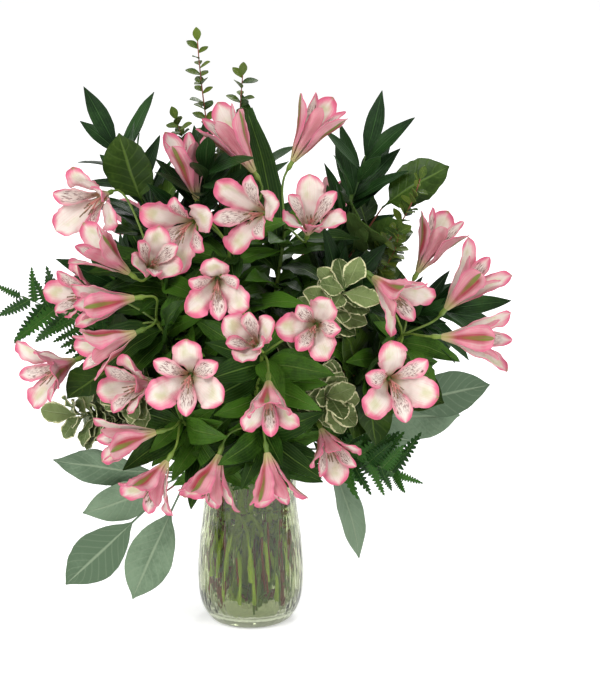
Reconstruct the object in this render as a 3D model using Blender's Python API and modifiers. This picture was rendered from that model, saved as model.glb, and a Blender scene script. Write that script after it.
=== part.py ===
"""Alstroemeria arrangement: pink alstroemeria and mixed foliage standing in a clear glass vase.

Lengths are metres, +Z is up and the front faces -Y. The origin is the centre of the vase's base.
Every stem runs straight through the water, passes the vase's mouth and arches out to its head.
Blooms have fixed places. Leaves take the first place along their stem that is clear of all else.
"""

import math
import random

import bmesh
import bpy
from mathutils import Matrix, Quaternion, Vector
from mathutils.bvhtree import BVHTree

MM = 0.001

# Vase and water
VASE_HEIGHT = 138 * MM
VASE_FLOOR = 8 * MM
VASE_SEGMENTS = 24
VASE_OUTSIDE = [(41.6, 138), (40.0, 126), (40.2, 106), (43.2, 80), (45.8, 50), (45.0, 24), (39.5, 7), (30.0, 0)]
VASE_INSIDE = [(28.0, 8), (38.0, 14), (42.4, 26), (43.0, 50), (40.6, 80), (37.6, 106), (37.5, 126), (39.4, 138)]
WATER_LEVEL = 106 * MM
TOUCH_GAP = 0.3 * MM

# Stems in the vase
MOUTH_REACH = 30 * MM
MOUTH_SPACING = 9.4 * MM
MOUTH_WIDEST_ANGLE = math.radians(105)
FOOT_HEIGHT = 15 * MM
FOOT_SCALE = 0.8
SPIRAL = math.radians(-48)
ARCH_STEPS = 6
STEM_SIDES = 4
STEM_TAPER = 0.4
ALSTROEMERIA_TAPER = 0.7
HEAD_AIM_HEIGHT = 82.8 * MM
ARCH_ARRIVAL = 0.8
BRANCH_SHARES = [0.34, 0.46]
BRANCH_SCALE = 0.62

# Blooms
CORE_SIDES = 12
CORE_RADIUS = 2.3 * MM
CORE_HEIGHT = 4.6 * MM
OVARY_RADIUS = 2.3 * MM
OVARY_LENGTH = 8 * MM
PEDICEL_RADIUS = 1.0 * MM
OVARY_NECK = 0.8
PEDICEL_TURN = math.radians(50)
PEDICEL_RISE = 0.7
TEPAL_THICKNESS = 0.9 * MM
TEPAL_CUP = 0.26
OUTER_RINGS = [(0.30, 4.6), (0.64, 11.6), (0.89, 9.8)]
INNER_RINGS = [(0.36, 3.4), (0.74, 7.4)]
FLARE_POWER = 2.0
BLOOM_COLOUR = (0.86, 0.42, 0.50)

# Leaves. A leaf's root is a short band of its stem. Upper sides turn outward, forward along the
# stem and to the front or the back.
LEAF_THICKNESS = 0.9 * MM
LEAF_CLEARANCE = 0.8 * MM
LEAST_BETWEEN = math.radians(75)
BAND_HEIGHT = 2.2 * MM
FACE_REACH = 1.5
NECK_WIDTH = 0.6
CLEAR_OF_STEM = 0.45
BARE_END = 0.03
LAST_ROOT = 0.96
TIP_ROOTS = [0.3 + 0.05 * i for i in range(12)]
CROWN_CENTRE = (-10, 0, 215)
BACK_FROM = 30 * MM
OUTWARD_SHARE = 0.8
FORWARD_SHARE = 0.2
TO_FRONT = (0, -0.6, 0.25)
TO_BACK = (0, 0.6, 0.25)
TURN_TRIES = [0, 20, -20, 40, -40, 60, -60, 85, -85]
PITCH_TRIES = [0, -16, 16, 30]
SIZE_TRIES = [1.0, 0.82]

# Each kind of foliage: rings of (share of length, share of half width), size in millimetres and
# degrees, how the leaves stand on a shoot, and the radius of its stem
LEAF_KINDS = {
    "alstroemeria": dict(rings=[(0.34, 1.0), (0.72, 0.72)], length=68, half_width=11, bend=42, cup=0.22,
                         pitch=56, turn=90, start=0.93, taper=0, group=3, radius=2.2,
                         colour=(0.13, 0.30, 0.07)),
    "ruscus": dict(rings=[(0.36, 0.95), (0.70, 0.74)], length=66, half_width=9.5, bend=14, cup=0.18,
                   pitch=36, turn=79, start=0.42, taper=0.15, group=2, radius=1.5,
                   colour=(0.03, 0.13, 0.05)),
    "salal": dict(rings=[(0.14, 0.10), (0.38, 0.92), (0.66, 1.0), (0.88, 0.55)], length=74, half_width=23,
                  bend=26, cup=0.16, pitch=50, turn=150, start=0.35, taper=0.1, group=1, radius=1.6,
                  colour=(0.08, 0.22, 0.05)),
    "eucalyptus": dict(rings=[(0.32, 0.05), (0.48, 0.74), (0.70, 1.0), (0.89, 0.55)], length=116,
                       half_width=20, bend=16, cup=0.08, pitch=40, turn=150, start=0.45, taper=0.1, group=1,
                       radius=1.4, colour=(0.20, 0.36, 0.28)),
    "pittosporum": dict(rings=[(0.44, 1.0), (0.84, 0.80)], length=35, half_width=10, bend=30, cup=0.14,
                        pitch=54, turn=70, start=0.42, taper=0.1, group=2, radius=1.3,
                        colour=(0.36, 0.47, 0.27)),
    "huckleberry": dict(rings=[(0.5, 1.0)], length=15.5, half_width=4.6, bend=20, cup=0.15,
                        pitch=52, turn=64, start=0.55, taper=0.25, group=2, radius=1.2,
                        colour=(0.10, 0.20, 0.07)),
    "fern": dict(rings=[(0.16, 1.0), (0.34, 0.5), (0.52, 0.8), (0.72, 0.34)],
                 length=48, half_width=7.4, bend=16, cup=0.05, pitch=56, turn=0, start=0.46,
                 taper=0.5, group=2, radius=1.1, flat=True, colour=(0.03, 0.16, 0.04)),
}

# Alstroemeria stems: the head; blooms as (name, base of the tepals, facing, roll, openness,
# length); and the tips of leaves
ALSTROEMERIA = {
    "stem_top_left": dict(
        head=(-16, -34, 338),
        blooms=[("02", (-42, -71, 367), (-0.35, -0.90, -0.05), 150, 0.85, 48),
                ("03", (16, -67, 372), (-0.45, -0.80, 0.20), 20, 0.75, 50),
                ("04", (-42, -25, 374), (-0.18, -0.15, 0.95), 60, 0.0, 58),
                ("05", (6, -25, 397), (-0.50, -0.20, 0.84), 35, 0.0, 62)],
        leaf_tips=[(0, -44, 453), (-34, -86, 318), (-74, -44, 356), (30, -84, 322)]),
    "stem_upper_left": dict(
        head=(-76, -40, 322),
        blooms=[("01", (-114, -38, 383), (-0.45, -0.85, -0.10), 100, 0.7, 50),
                ("22", (-94, -80, 325), (-0.68, -0.35, 0.62), 30, 0.1, 52),
                ("23", (-78, -92, 332), (0.20, -0.80, 0.45), 200, 0.3, 44)],
        leaf_tips=[(-88, -66, 362), (-118, -40, 330), (-100, 10, 380), (-60, -88, 290)]),
    "stem_left": dict(
        head=(-74, -55, 278),
        blooms=[("24", (-119, -51, 299), (-0.70, -0.62, 0.26), 70, 0.35, 46),
                ("25", (-88, -100, 310), (-0.92, -0.38, -0.05), 10, 0.0, 50),
                ("26", (-87, -108, 284), (-0.86, -0.42, -0.28), 60, 0.15, 52),
                ("27", (-144, -36, 241), (-0.70, -0.65, -0.15), 130, 0.6, 50)],
        leaf_tips=[(-70, -124, 330), (-48, -112, 300), (-130, -30, 262), (-128, 0, 310)]),
    "stem_lower_left": dict(
        head=(-54, -72, 199),
        blooms=[("20", (-44, -120, 252), (-0.06, -0.97, 0.15), 90, 0.8, 48),
                ("21", (-76, -105, 240), (-0.60, -0.72, 0.14), 200, 0.5, 44),
                ("28", (-72, -110, 201), (-0.90, -0.36, -0.10), 0, 0.1, 50),
                ("29", (-64, -108, 177), (-0.50, -0.50, -0.70), 70, 0.5, 46)],
        leaf_tips=[(-51, -104, 147), (-66, -84, 158), (-34, -110, 216), (-98, -60, 232)]),
    "stem_front": dict(
        head=(12, -86, 258),
        blooms=[("12", (-22, -122, 332), (0.0, -0.97, -0.10), 95, 0.6, 43),
                ("13", (56, -123, 294), (-0.10, -0.93, 0.16), 60, 0.5, 46),
                ("15", (10, -140, 280), (-0.22, -0.82, 0.48), 30, 0.35, 42),
                ("16", (18, -136, 252), (0.02, -0.75, -0.65), 215, 0.45, 44)],
        leaf_tips=[(-28, -130, 236), (44, -110, 240), (0, -118, 306), (54, -110, 268)]),
    "stem_low_front": dict(
        head=(12, -68, 192),
        blooms=[("17", (60, -86, 197), (0.30, -0.80, -0.50), 45, 0.3, 46),
                ("18", (-22, -105, 182), (-0.30, -0.42, -0.85), 80, 0.5, 48),
                ("19", (16, -115, 187), (0.16, -0.42, -0.88), 20, 0.35, 48)],
        leaf_tips=[(-20, -118, 172), (40, -112, 178), (-6, -120, 222), (48, -74, 150)]),
    "stem_top": dict(
        head=(30, -10, 346),
        blooms=[("06", (36, -5, 402), (0.48, -0.10, 0.85), 0, 0.05, 62),
                ("07", (49, -59, 353), (0.10, -0.70, 0.68), 90, 0.45, 50)],
        leaf_tips=[(17, -15, 471), (66, -40, 330), (60, 20, 410), (10, -74, 320)]),
    "stem_right": dict(
        head=(128, -36, 262),
        blooms=[("08", (141, -10, 309), (0.42, -0.20, 0.87), 20, 0.1, 58),
                ("09", (163, -40, 285), (0.56, -0.30, 0.76), 75, 0.1, 60),
                ("10", (157, -70, 270), (0.93, -0.35, 0.05), 45, 0.2, 58),
                ("11", (101, -74, 322), (0.62, -0.50, -0.40), 10, 0.4, 50),
                ("14", (115, -85, 239), (0.20, -0.95, 0.10), 100, 0.9, 48)],
        leaf_tips=[(127, -50, 300), (168, -20, 240), (100, -80, 206), (86, -84, 268), (180, 10, 270)]),
    "stem_back_left": dict(
        head=(-54, 56, 286),
        blooms=[("30", (-84, 92, 312), (-0.45, 0.80, 0.40), 40, 0.6, 50),
                ("31", (-56, 116, 268), (-0.15, 0.96, 0.05), 80, 0.75, 48),
                ("32", (-122, 66, 262), (-0.80, 0.55, -0.05), 120, 0.4, 50)],
        leaf_tips=[(-60, 110, 320), (-104, 86, 300), (-30, 112, 236), (-90, 88, 226), (-20, 90, 330)]),
    "stem_back_right": dict(
        head=(54, 62, 282),
        blooms=[("33", (62, 104, 322), (0.30, 0.82, 0.45), 15, 0.5, 52),
                ("34", (52, 122, 258), (0.12, 0.97, -0.05), 70, 0.8, 48)],
        leaf_tips=[(84, 100, 300), (20, 116, 290), (96, 76, 240), (30, 96, 220), (60, 60, 350)]),
}

# Foliage stems: the kind, and shoots as (tip, direction at the tip, number of leaves or their
# tips). The first shoot rises from the vase and the others branch off it.
FOLIAGE = {
    "ruscus_left": dict(kind="ruscus", shoots=[
        ((-112, 22, 412), (-0.45, 0, 0.9), 11), ((-112, -14, 300), (-0.7, -0.4, 0.5), 5),
        ((-34, -30, 404), (0.1, -0.4, 0.9), 5)]),
    "ruscus_right": dict(kind="ruscus", shoots=[
        ((98, 20, 404), (0.2, 0, 0.97), 11), ((166, -4, 276), (0.95, -0.1, 0.25), 5),
        ((76, -40, 300), (0.3, -0.7, 0.5), 5)]),
    "ruscus_back": dict(kind="ruscus", shoots=[
        ((0, 130, 374), (0, 0.6, 0.8), 8), ((-90, 112, 224), (-0.6, 0.7, 0.2), 5),
        ((104, 100, 214), (0.7, 0.6, 0.2), 5)]),
    "salal_left": dict(kind="salal", shoots=[
        ((-88, 2, 366), (-0.4, -0.2, 0.9), 5), ((-100, -34, 238), (-0.8, -0.5, 0.2), 3)]),
    "salal_right": dict(kind="salal", shoots=[
        ((112, 6, 362), (0.5, -0.2, 0.8), 5), ((104, -44, 226), (0.8, -0.5, 0.1), 3)]),
    "huckleberry_top": dict(kind="huckleberry", shoots=[
        ((-42, 20, 500), (-0.05, 0, 1), 15), ((-60, 10, 436), (-0.3, 0, 0.95), 5)]),
    "huckleberry_middle": dict(kind="huckleberry", shoots=[
        ((-5, 30, 470), (0.1, 0, 1), 13), ((-24, 20, 420), (-0.3, 0, 0.95), 5)]),
    "huckleberry_right": dict(kind="huckleberry", shoots=[
        ((142, -22, 392), (0.2, -0.1, 1), 13), ((124, -30, 350), (-0.1, -0.3, 0.95), 5)]),
    "pittosporum_front": dict(kind="pittosporum", shoots=[
        ((80, -88, 316), (0.3, -0.6, 0.7), 10), ((66, -86, 222), (0.3, -0.8, -0.1), 6)]),
    "pittosporum_left": dict(kind="pittosporum", shoots=[
        ((-146, -24, 190), (-0.95, -0.1, 0.1), 9), ((-98, -66, 222), (-0.6, -0.7, 0.2), 5)]),
    "fern_left": dict(kind="fern", shoots=[((-192, -12, 290), (-0.9, 0, 0.35), 13)]),
    "fern_right": dict(kind="fern", shoots=[((124, -50, 146), (0.9, -0.1, -0.4), 13)]),
    "eucalyptus_left": dict(kind="eucalyptus", shoots=[
        ((-84, -56, 122), (-0.9, -0.1, -0.5),
         [(-160, -52, 42), (-102, -72, 41), (-162, -34, 112), (-144, -60, 132), (-150, 20, 150)])]),
    "eucalyptus_right": dict(kind="eucalyptus", shoots=[
        ((132, 6, 192), (0.9, 0, 0.1),
         [(211, 20, 199), (186, 20, 172), (172, -10, 236), (108, -30, 68), (150, 50, 140)])]),
}


def clear_scene():
    for obj in list(bpy.data.objects):
        bpy.data.objects.remove(obj)


def make_collection(name):
    collection = bpy.data.collections.new(name)
    bpy.context.scene.collection.children.link(collection)
    return collection


def make_material(name, colour, roughness, metallic=0.0, transmission=0.0):
    material = bpy.data.materials.new(name)
    material.use_nodes = True
    shader = material.node_tree.nodes["Principled BSDF"]
    shader.inputs["Base Color"].default_value = (*colour, 1)
    shader.inputs["Roughness"].default_value = roughness
    shader.inputs["Metallic"].default_value = metallic
    shader.inputs["Transmission Weight"].default_value = transmission
    return material


def add_object(name, mesh, material, collection):
    obj = bpy.data.objects.new(name, mesh)
    mesh.materials.append(material)
    collection.objects.link(obj)
    return obj


def vector(millimetres):
    return Vector(millimetres) * MM


# Turned pieces


def turned_object(name, profile, material, collection):
    """A profile in the XZ plane, axis to axis, turned about Z by a Screw modifier."""
    mesh = bpy.data.meshes.new(name)
    points = [(r * MM, 0, z * MM) for r, z in profile]
    mesh.from_pydata(points, [(i, i + 1) for i in range(len(points) - 1)], [])
    obj = add_object(name, mesh, material, collection)
    screw = obj.modifiers.new("Turn", "SCREW")
    screw.steps = screw.render_steps = VASE_SEGMENTS
    screw.use_merge_vertices = True
    screw.merge_threshold = 0.00001
    screw.use_smooth_shade = True
    return obj


def water_profile():
    """The vase's inside, drawn in by the touching gap and cut off at the water's level."""
    gap = TOUCH_GAP / MM
    level = WATER_LEVEL / MM
    floor = VASE_INSIDE[0][1] + gap
    below = [(r - gap, max(z, floor)) for r, z in VASE_INSIDE if z < level]
    (low_r, low_z), (high_r, high_z) = [p for p in VASE_INSIDE if p[1] < level][-1], \
        [p for p in VASE_INSIDE if p[1] >= level][0]
    edge = low_r + (high_r - low_r) * (level - low_z) / (high_z - low_z) - gap
    return [(0, level), (edge, level), *reversed(below), (0, floor)]


# Tubes


def tube_mesh(name, points, radii, sides):
    """The mesh of a tube along points, with its caps welded on, each as one face."""
    curve = bpy.data.curves.new(name, "CURVE")
    curve.dimensions = "3D"
    curve.bevel_depth = 1.0
    curve.bevel_resolution = sides // 2 - 2
    curve.use_fill_caps = True
    spline = curve.splines.new("POLY")
    spline.points.add(len(points) - 1)
    for point, place, radius in zip(spline.points, points, radii):
        point.co = (*place, 1)
        point.radius = radius
    drawn = bpy.data.objects.new(name + "_line", curve)
    bpy.context.scene.collection.objects.link(drawn)
    graph = bpy.context.evaluated_depsgraph_get()
    mesh = bpy.data.meshes.new_from_object(drawn.evaluated_get(graph))
    bpy.data.objects.remove(drawn)
    bm = bmesh.new()
    bm.from_mesh(mesh)
    bmesh.ops.remove_doubles(bm, verts=bm.verts, dist=0.00001)
    in_caps = [edge for edge in bm.edges if all(len(face.verts) == 3 for face in edge.link_faces)]
    bmesh.ops.dissolve_edges(bm, edges=in_caps)
    bmesh.ops.recalc_face_normals(bm, faces=bm.faces)
    bm.to_mesh(mesh)
    bm.free()
    return mesh


def mesh_tree(mesh):
    return BVHTree.FromPolygons([v.co for v in mesh.vertices], [list(p.vertices) for p in mesh.polygons])


def hermite(start, start_pull, end, end_pull, t):
    a, b = 2 * t**3 - 3 * t**2 + 1, t**3 - 2 * t**2 + t
    c, d = -2 * t**3 + 3 * t**2, t**3 - t**2
    return start * a + start_pull * b + end * c + end_pull * d


# Four-cornered blades, drawn out of a face ring by ring to a tip. A ring is (right edge, crest,
# left edge, keel).


def grow_ring(bm, corners, ring):
    """Extrudes the face of these four corners to the ring, and splits its sides alike on both faces."""
    face = bm.faces.get(corners)
    made = bmesh.ops.extrude_discrete_faces(bm, faces=[face])["faces"][0]
    grown = [min(made.verts, key=lambda v: (v.co - corner.co).length) for corner in corners]
    for i in range(4):
        j = (i + 1) % 4
        side = bm.faces.get((corners[i], corners[j], grown[j], grown[i]))
        edge, crest = (i, j) if i % 2 == 0 else (j, i)
        bmesh.utils.face_split(side, corners[edge], grown[crest])
    for corner, place in zip(grown, ring):
        corner.co = place
    return grown


def grow_blade(bm, corners, rings, tip):
    for ring in rings:
        corners = grow_ring(bm, corners, ring)
    corners = grow_ring(bm, corners, [corner.co.copy() for corner in corners])
    bmesh.ops.pointmerge(bm, verts=corners, merge_co=tip)


def matching_corners(face, ring):
    """The face's corners, started where they turn least on their way to the ring."""
    middle = sum(ring, Vector()) / 4
    centre = face.calc_center_median()
    starts = [list(face.verts)[k:] + list(face.verts)[:k] for k in range(4)]
    return max(starts, key=lambda corners: sum(
        (corner.co - centre).normalized().dot((place - middle).normalized()) for corner, place in zip(corners, ring)))


def cross_section(middle, along, normal, half_width, half_thickness, cup):
    """Four corners of a blade's section; the edges are lifted to the crest's side by the cup."""
    across = along.cross(normal)
    lift = normal * half_width * cup
    return [middle - across * half_width + lift, middle + normal * half_thickness,
            middle + across * half_width + lift, middle - normal * half_thickness]


def close_mesh(bm, name):
    bmesh.ops.triangulate(bm, faces=[f for f in bm.faces if len(f.verts) > 3])
    bmesh.ops.recalc_face_normals(bm, faces=bm.faces)
    mesh = bpy.data.meshes.new(name)
    bm.to_mesh(mesh)
    bm.free()
    return mesh


# Blooms


def bloom_matrix(base, facing, roll):
    """Local +Z is the way the bloom faces."""
    turn = Vector(facing).normalized().to_track_quat("Z", "Y")
    return Matrix.Translation(vector(base)) @ turn.to_matrix().to_4x4() @ Matrix.Rotation(math.radians(roll), 4, "Z")


def tepal_line(azimuth, start_angle, end_angle, length, share):
    """Point, direction and inner normal of a tepal at a share of its length; it flares towards its tip."""
    outward = Vector((math.cos(azimuth), math.sin(azimuth), 0))
    steps = 12
    place = outward * CORE_RADIUS + Vector((0, 0, CORE_HEIGHT / 2))
    for i in range(steps):
        at = share * (i + 0.5) / steps
        angle = start_angle + (end_angle - start_angle) * at**FLARE_POWER
        place = place + (outward * math.sin(angle) + Vector((0, 0, math.cos(angle)))) * length * share / steps
    angle = start_angle + (end_angle - start_angle) * share**FLARE_POWER
    along = outward * math.sin(angle) + Vector((0, 0, math.cos(angle)))
    normal = Vector((0, 0, math.sin(angle))) - outward * math.cos(angle)
    return place, along, normal


def bloom_tepals(name, openness, length):
    """The six tepals of a bloom: azimuth, start angle, end angle, length, rings and width factor."""
    draw = random.Random("bloom " + name)
    tepals = []
    for k in range(6):
        outer = k % 2 == 0
        start = math.radians((17 if outer else 9) + 13 * openness)
        end = math.radians((26 if outer else 20) + 62 * openness + draw.uniform(-7, 7))
        size = length * MM * (1 if outer else 0.95) * draw.uniform(0.96, 1.04)
        width = (0.78 + 0.22 * openness) * draw.uniform(0.94, 1.06)
        tepals.append((math.radians(60 * k), start, end, size, outer, width))
    return tepals


def bloom_mesh(name, openness, length):
    """A twelve-sided core whose every second upright is drawn to a point, so that six diamond faces
    stand round it, and each is drawn out into a tepal."""
    bm = bmesh.new()
    bmesh.ops.create_cone(bm, cap_ends=True, segments=CORE_SIDES, radius1=CORE_RADIUS, radius2=CORE_RADIUS,
                          depth=CORE_HEIGHT, matrix=Matrix.Translation((0, 0, CORE_HEIGHT / 2)))
    upright = {}
    for edge in bm.edges:
        low, high = sorted(edge.verts, key=lambda v: v.co.z)
        if high.co.z - low.co.z > CORE_HEIGHT / 2:
            upright[round(math.atan2(low.co.y, low.co.x) / math.tau * CORE_SIDES) % CORE_SIDES] = (low, high)
    waist = {}
    for place in range(1, CORE_SIDES, 2):
        low, high = upright[place]
        bmesh.ops.pointmerge(bm, verts=[low, high], merge_co=(low.co + high.co) / 2)
        waist[place] = low if low.is_valid else high
    for k, (azimuth, start, end, size, outer, width) in enumerate(bloom_tepals(name, openness, length)):
        keel, crest = upright[2 * k]
        bmesh.ops.dissolve_edges(bm, edges=[bm.edges.get((keel, crest))])
        corners = [waist[(2 * k - 1) % CORE_SIDES], crest, waist[2 * k + 1], keel]
        rings = []
        for share, half_width in OUTER_RINGS if outer else INNER_RINGS:
            middle, along, normal = tepal_line(azimuth, start, end, size, share)
            ring = cross_section(middle, along, normal, half_width * width * MM, TEPAL_THICKNESS / 2, TEPAL_CUP)
            rings.append([ring[2], ring[1], ring[0], ring[3]])
        grow_blade(bm, corners, rings, tepal_line(azimuth, start, end, size, 1.0)[0])
    return close_mesh(bm, "bloom_" + name)


# Stems


def mouth_places():
    """Where each stem passes the mouth: towards its head, then pushed apart to the spacing."""
    heads = {name: vector(stem["head"]) for name, stem in ALSTROEMERIA.items()}
    heads.update({name: vector(stem["shoots"][0][0]) for name, stem in FOLIAGE.items()})
    places = {}
    for name, head in heads.items():
        rise = head - Vector((0, 0, VASE_HEIGHT))
        tilt = math.atan2(math.hypot(rise.x, rise.y), rise.z)
        reach = MOUTH_REACH * min(1, tilt / MOUTH_WIDEST_ANGLE)
        places[name] = Vector((rise.x, rise.y)).normalized() * reach
    names = list(places)
    for _ in range(200):
        for i, one in enumerate(names):
            for other in names[i + 1:]:
                apart = places[one] - places[other]
                if apart.length < MOUTH_SPACING:
                    push = apart.normalized() * (MOUTH_SPACING - apart.length) / 2
                    places[one] += push
                    places[other] -= push
        for name in names:
            if places[name].length > MOUTH_REACH:
                places[name] = places[name].normalized() * MOUTH_REACH
    return places


def arched(start, start_direction, end, end_direction):
    """The points of a shoot that leaves and arrives in these directions."""
    span = (end - start).length
    pulls = start_direction.normalized() * span, end_direction.normalized() * span * ARCH_ARRIVAL
    return [hermite(start, pulls[0], end, pulls[1], i / ARCH_STEPS) for i in range(ARCH_STEPS + 1)]


def foot_under(mouth):
    """The foot stands turned round from the mouth, as stems lean against one another in a vase."""
    turned = Quaternion((0, 0, 1), SPIRAL) @ mouth * FOOT_SCALE
    return Vector((turned.x, turned.y, FOOT_HEIGHT))


def along_arch(arch, share):
    """Point and direction at a share of an arch's length."""
    lengths = [(b - a).length for a, b in zip(arch, arch[1:])]
    left = share * sum(lengths)
    for a, b, length in zip(arch, arch[1:], lengths):
        if left <= length or b is arch[-1]:
            return a.lerp(b, min(1, left / length)), (b - a).normalized()
        left -= length


def pedicel_line(head, head_direction, base, facing):
    """From the head of the stem to the underside of a bloom, with the ovary's swelling at its end.
    It leaves on the bloom's side of the stem, and has more points the further it turns."""
    root = base - facing * OVARY_LENGTH
    span = (root - head).length
    leaving = (head_direction * PEDICEL_RISE + (root - head).normalized()).normalized()
    steps = 1 + round(leaving.angle(facing) / PEDICEL_TURN)
    points = [hermite(head, leaving * span, root, facing * span, i / steps) for i in range(steps + 1)]
    points += [base - facing * OVARY_LENGTH / 2, base - facing * TOUCH_GAP]
    points[0] = head - head_direction * PEDICEL_RADIUS
    radii = [PEDICEL_RADIUS] * (steps + 1) + [OVARY_RADIUS, OVARY_RADIUS * OVARY_NECK]
    return points, radii


class Shoot:
    """An arch with a taper, and the leaves on it as (share of its length, rings, tip)."""

    def __init__(self, arch, radius, end_radius, lead=()):
        self.arch = arch
        self.radius = radius
        self.end_radius = end_radius
        self.lead = list(lead)
        self.leaves = []

    def radius_at(self, share):
        return self.radius + (self.end_radius - self.radius) * share

    def tube(self, name, shares, sides):
        points = self.lead + [along_arch(self.arch, share)[0] for share in shares]
        radii = [self.radius] * len(self.lead) + [self.radius_at(share) for share in shares]
        return tube_mesh(name, points, radii, sides)

    def bare_mesh(self, name, sides):
        return self.tube(name, [i / ARCH_STEPS for i in range(ARCH_STEPS + 1)], sides)

    def leafy_mesh(self, name, sides):
        """The tube has a short band at each leaf's root. A side face of the band, or the end cap
        for a leaf at the very end, is drawn out into the leaf."""
        length = sum((b - a).length for a, b in zip(self.arch, self.arch[1:]))
        roots = sorted({share for share, _, _ in self.leaves if share < 1})
        first = roots[0] if roots else 1
        shares = [i / ARCH_STEPS for i in range(ARCH_STEPS) if i / ARCH_STEPS < first - BARE_END]
        for share in roots:
            shares += [share - BAND_HEIGHT / 2 / length, share + BAND_HEIGHT / 2 / length]
        bm = bmesh.new()
        bm.from_mesh(self.tube(name, [*shares, 1], sides))
        for share, rings, tip in self.leaves:
            root, direction = along_arch(self.arch, share)
            away = (sum(rings[0], Vector()) / 4 - root).normalized()
            near = [f for f in bm.faces if len(f.verts) == 4
                    and abs((f.calc_center_median() - root).dot(direction)) < BAND_HEIGHT / 4
                    and (f.calc_center_median() - root).length < self.radius * FACE_REACH]
            face = max(near, key=lambda f: f.normal.dot(away))
            grow_blade(bm, matching_corners(face, rings[0]), rings, tip)
        return close_mesh(bm, name)


class Stem:
    """A stem that rises through the vase, with the shoots that branch off it."""

    def __init__(self, name, kind, mouth_xy, head, aim):
        self.name = name
        self.kind = kind
        self.radius = LEAF_KINDS[kind]["radius"] * MM
        self.taper = ALSTROEMERIA_TAPER if kind == "alstroemeria" else STEM_TAPER
        self.mouth = Vector((*mouth_xy, VASE_HEIGHT))
        self.foot = foot_under(self.mouth)
        arch = arched(self.mouth, self.mouth - self.foot, head, aim)
        self.shoots = [Shoot(arch, self.radius, self.radius * self.taper, [self.foot])]
        self.pedicels = []

    def branch(self, share, tip, aim):
        start, direction = along_arch(self.shoots[0].arch, share)
        arch = arched(start, direction + (tip - start).normalized(), tip, aim)
        radius = self.radius * BRANCH_SCALE
        self.shoots.append(Shoot(arch, radius, radius * self.taper))


# Leaves


def leaf_line(root, along, normal, length, bend, share):
    """A leaf's middle line is an arc that bends away from its upper side."""
    angle = bend * share
    reach = math.sin(angle) / bend
    drop = (1 - math.cos(angle)) / bend
    place = root + (along * reach - normal * drop) * length
    return (place, along * math.cos(angle) - normal * math.sin(angle),
            normal * math.cos(angle) + along * math.sin(angle))


def leaf_rings(kind, root, along, normal, size, least, grown=0.0):
    """A leaf's rings and tip. Least is its smallest half width, and grown is added all round."""
    form = LEAF_KINDS[kind]
    length = form["length"] * MM * size
    bend = math.radians(form["bend"])
    rings = []
    for share, part in form["rings"]:
        place, ahead, up = leaf_line(root, along, normal, length, bend, share)
        half = max(form["half_width"] * MM * min(size, 1) * part, least)
        rings.append(cross_section(place, ahead, up, half + grown, LEAF_THICKNESS / 2 + grown, form["cup"]))
    tip, ahead, up = leaf_line(root, along, normal, length, bend, 1.0)
    return rings, tip + ahead * grown


def level_side(direction):
    """A level direction square to this one."""
    return direction.cross(Vector((0, 0, 1)) if abs(direction.z) < 0.97 else Vector((0, 1, 0))).normalized()


def upper_side(kind, root, direction, along):
    """Leaves turn their upper side out of the crown and up; a frond lies in one upright plane."""
    if LEAF_KINDS[kind].get("flat"):
        face = level_side(direction)
        face = face if face.y < 0 else -face
    else:
        outward = (root - vector(CROWN_CENTRE)).normalized()
        viewed = Vector(TO_FRONT if root.y < BACK_FROM else TO_BACK)
        face = outward * OUTWARD_SHARE + direction * FORWARD_SHARE + viewed
    return (face - along * face.dot(along)).normalized()


def shoot_leaves(kind, arch, count):
    """Share, wished direction and size of each leaf, in groups round the shoot. The last is its end."""
    form = LEAF_KINDS[kind]
    group = form["group"]
    groups = (count - 1) // group
    for i in range(count - 1):
        share = form["start"] + (LAST_ROOT - form["start"]) * (i // group) / groups
        _, direction = along_arch(arch, share)
        turn = form["turn"] * (i // group) + 360 / max(group, 2) * (i % group)
        hinge = Quaternion(direction, math.radians(turn)) @ level_side(direction)
        yield share, Quaternion(hinge, math.radians(form["pitch"])) @ direction, 1 - form["taper"] * i / count
    yield 1, along_arch(arch, 1)[1], 1 - form["taper"]


def whorl_leaves(kind, arch):
    """The same for the ring of leaves close under an alstroemeria's blooms."""
    form = LEAF_KINDS[kind]
    share = form["start"]
    _, direction = along_arch(arch, share)
    for i in range(form["group"]):
        hinge = Quaternion(direction, math.radians(form["turn"] * (i + 0.5))) @ level_side(direction)
        yield share, Quaternion(hinge, math.radians(form["pitch"])) @ direction, 1


def leaves_to(kind, arch, tips):
    """The same for leaves that reach to given tips. Each has its own root, at the place along the
    stem that is nearest to a full leaf's length from its tip."""
    length = LEAF_KINDS[kind]["length"] * MM
    roots = {share: along_arch(arch, share)[0] for share in TIP_ROOTS}
    for tip in map(vector, tips):
        share = min(roots, key=lambda share: abs((tip - roots[share]).length - length))
        reach = tip - roots.pop(share)
        yield share, reach.normalized(), reach.length / length


def leaf_poses(direction, wish):
    """The directions and sizes that a leaf tries, in order, round its stem and then off it."""
    hinge = direction.cross(wish).normalized() if direction.dot(wish) < 0.999 else level_side(direction)
    for size in SIZE_TRIES:
        for lean in PITCH_TRIES:
            for turn in TURN_TRIES:
                about = Quaternion(direction, math.radians(turn))
                yield about @ Quaternion(hinge, math.radians(lean)) @ wish, size


def rings_tree(start, rings, tip):
    """A tree of the surface from a starting point through the rings to the tip, for overlap tests."""
    points = [start] + [corner for ring in rings for corner in ring] + [tip]
    faces = [(0, 1 + i, 1 + (i + 1) % 4) for i in range(4)]
    for at in range(1, 4 * len(rings) - 3, 4):
        for i in range(4):
            j = (i + 1) % 4
            faces.append((at + i, at + j, at + 4 + j, at + 4 + i))
    last = 4 * len(rings) - 3
    faces += [(last + i, last + (i + 1) % 4, len(points) - 1) for i in range(4)]
    return BVHTree.FromPolygons(points, faces)


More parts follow.
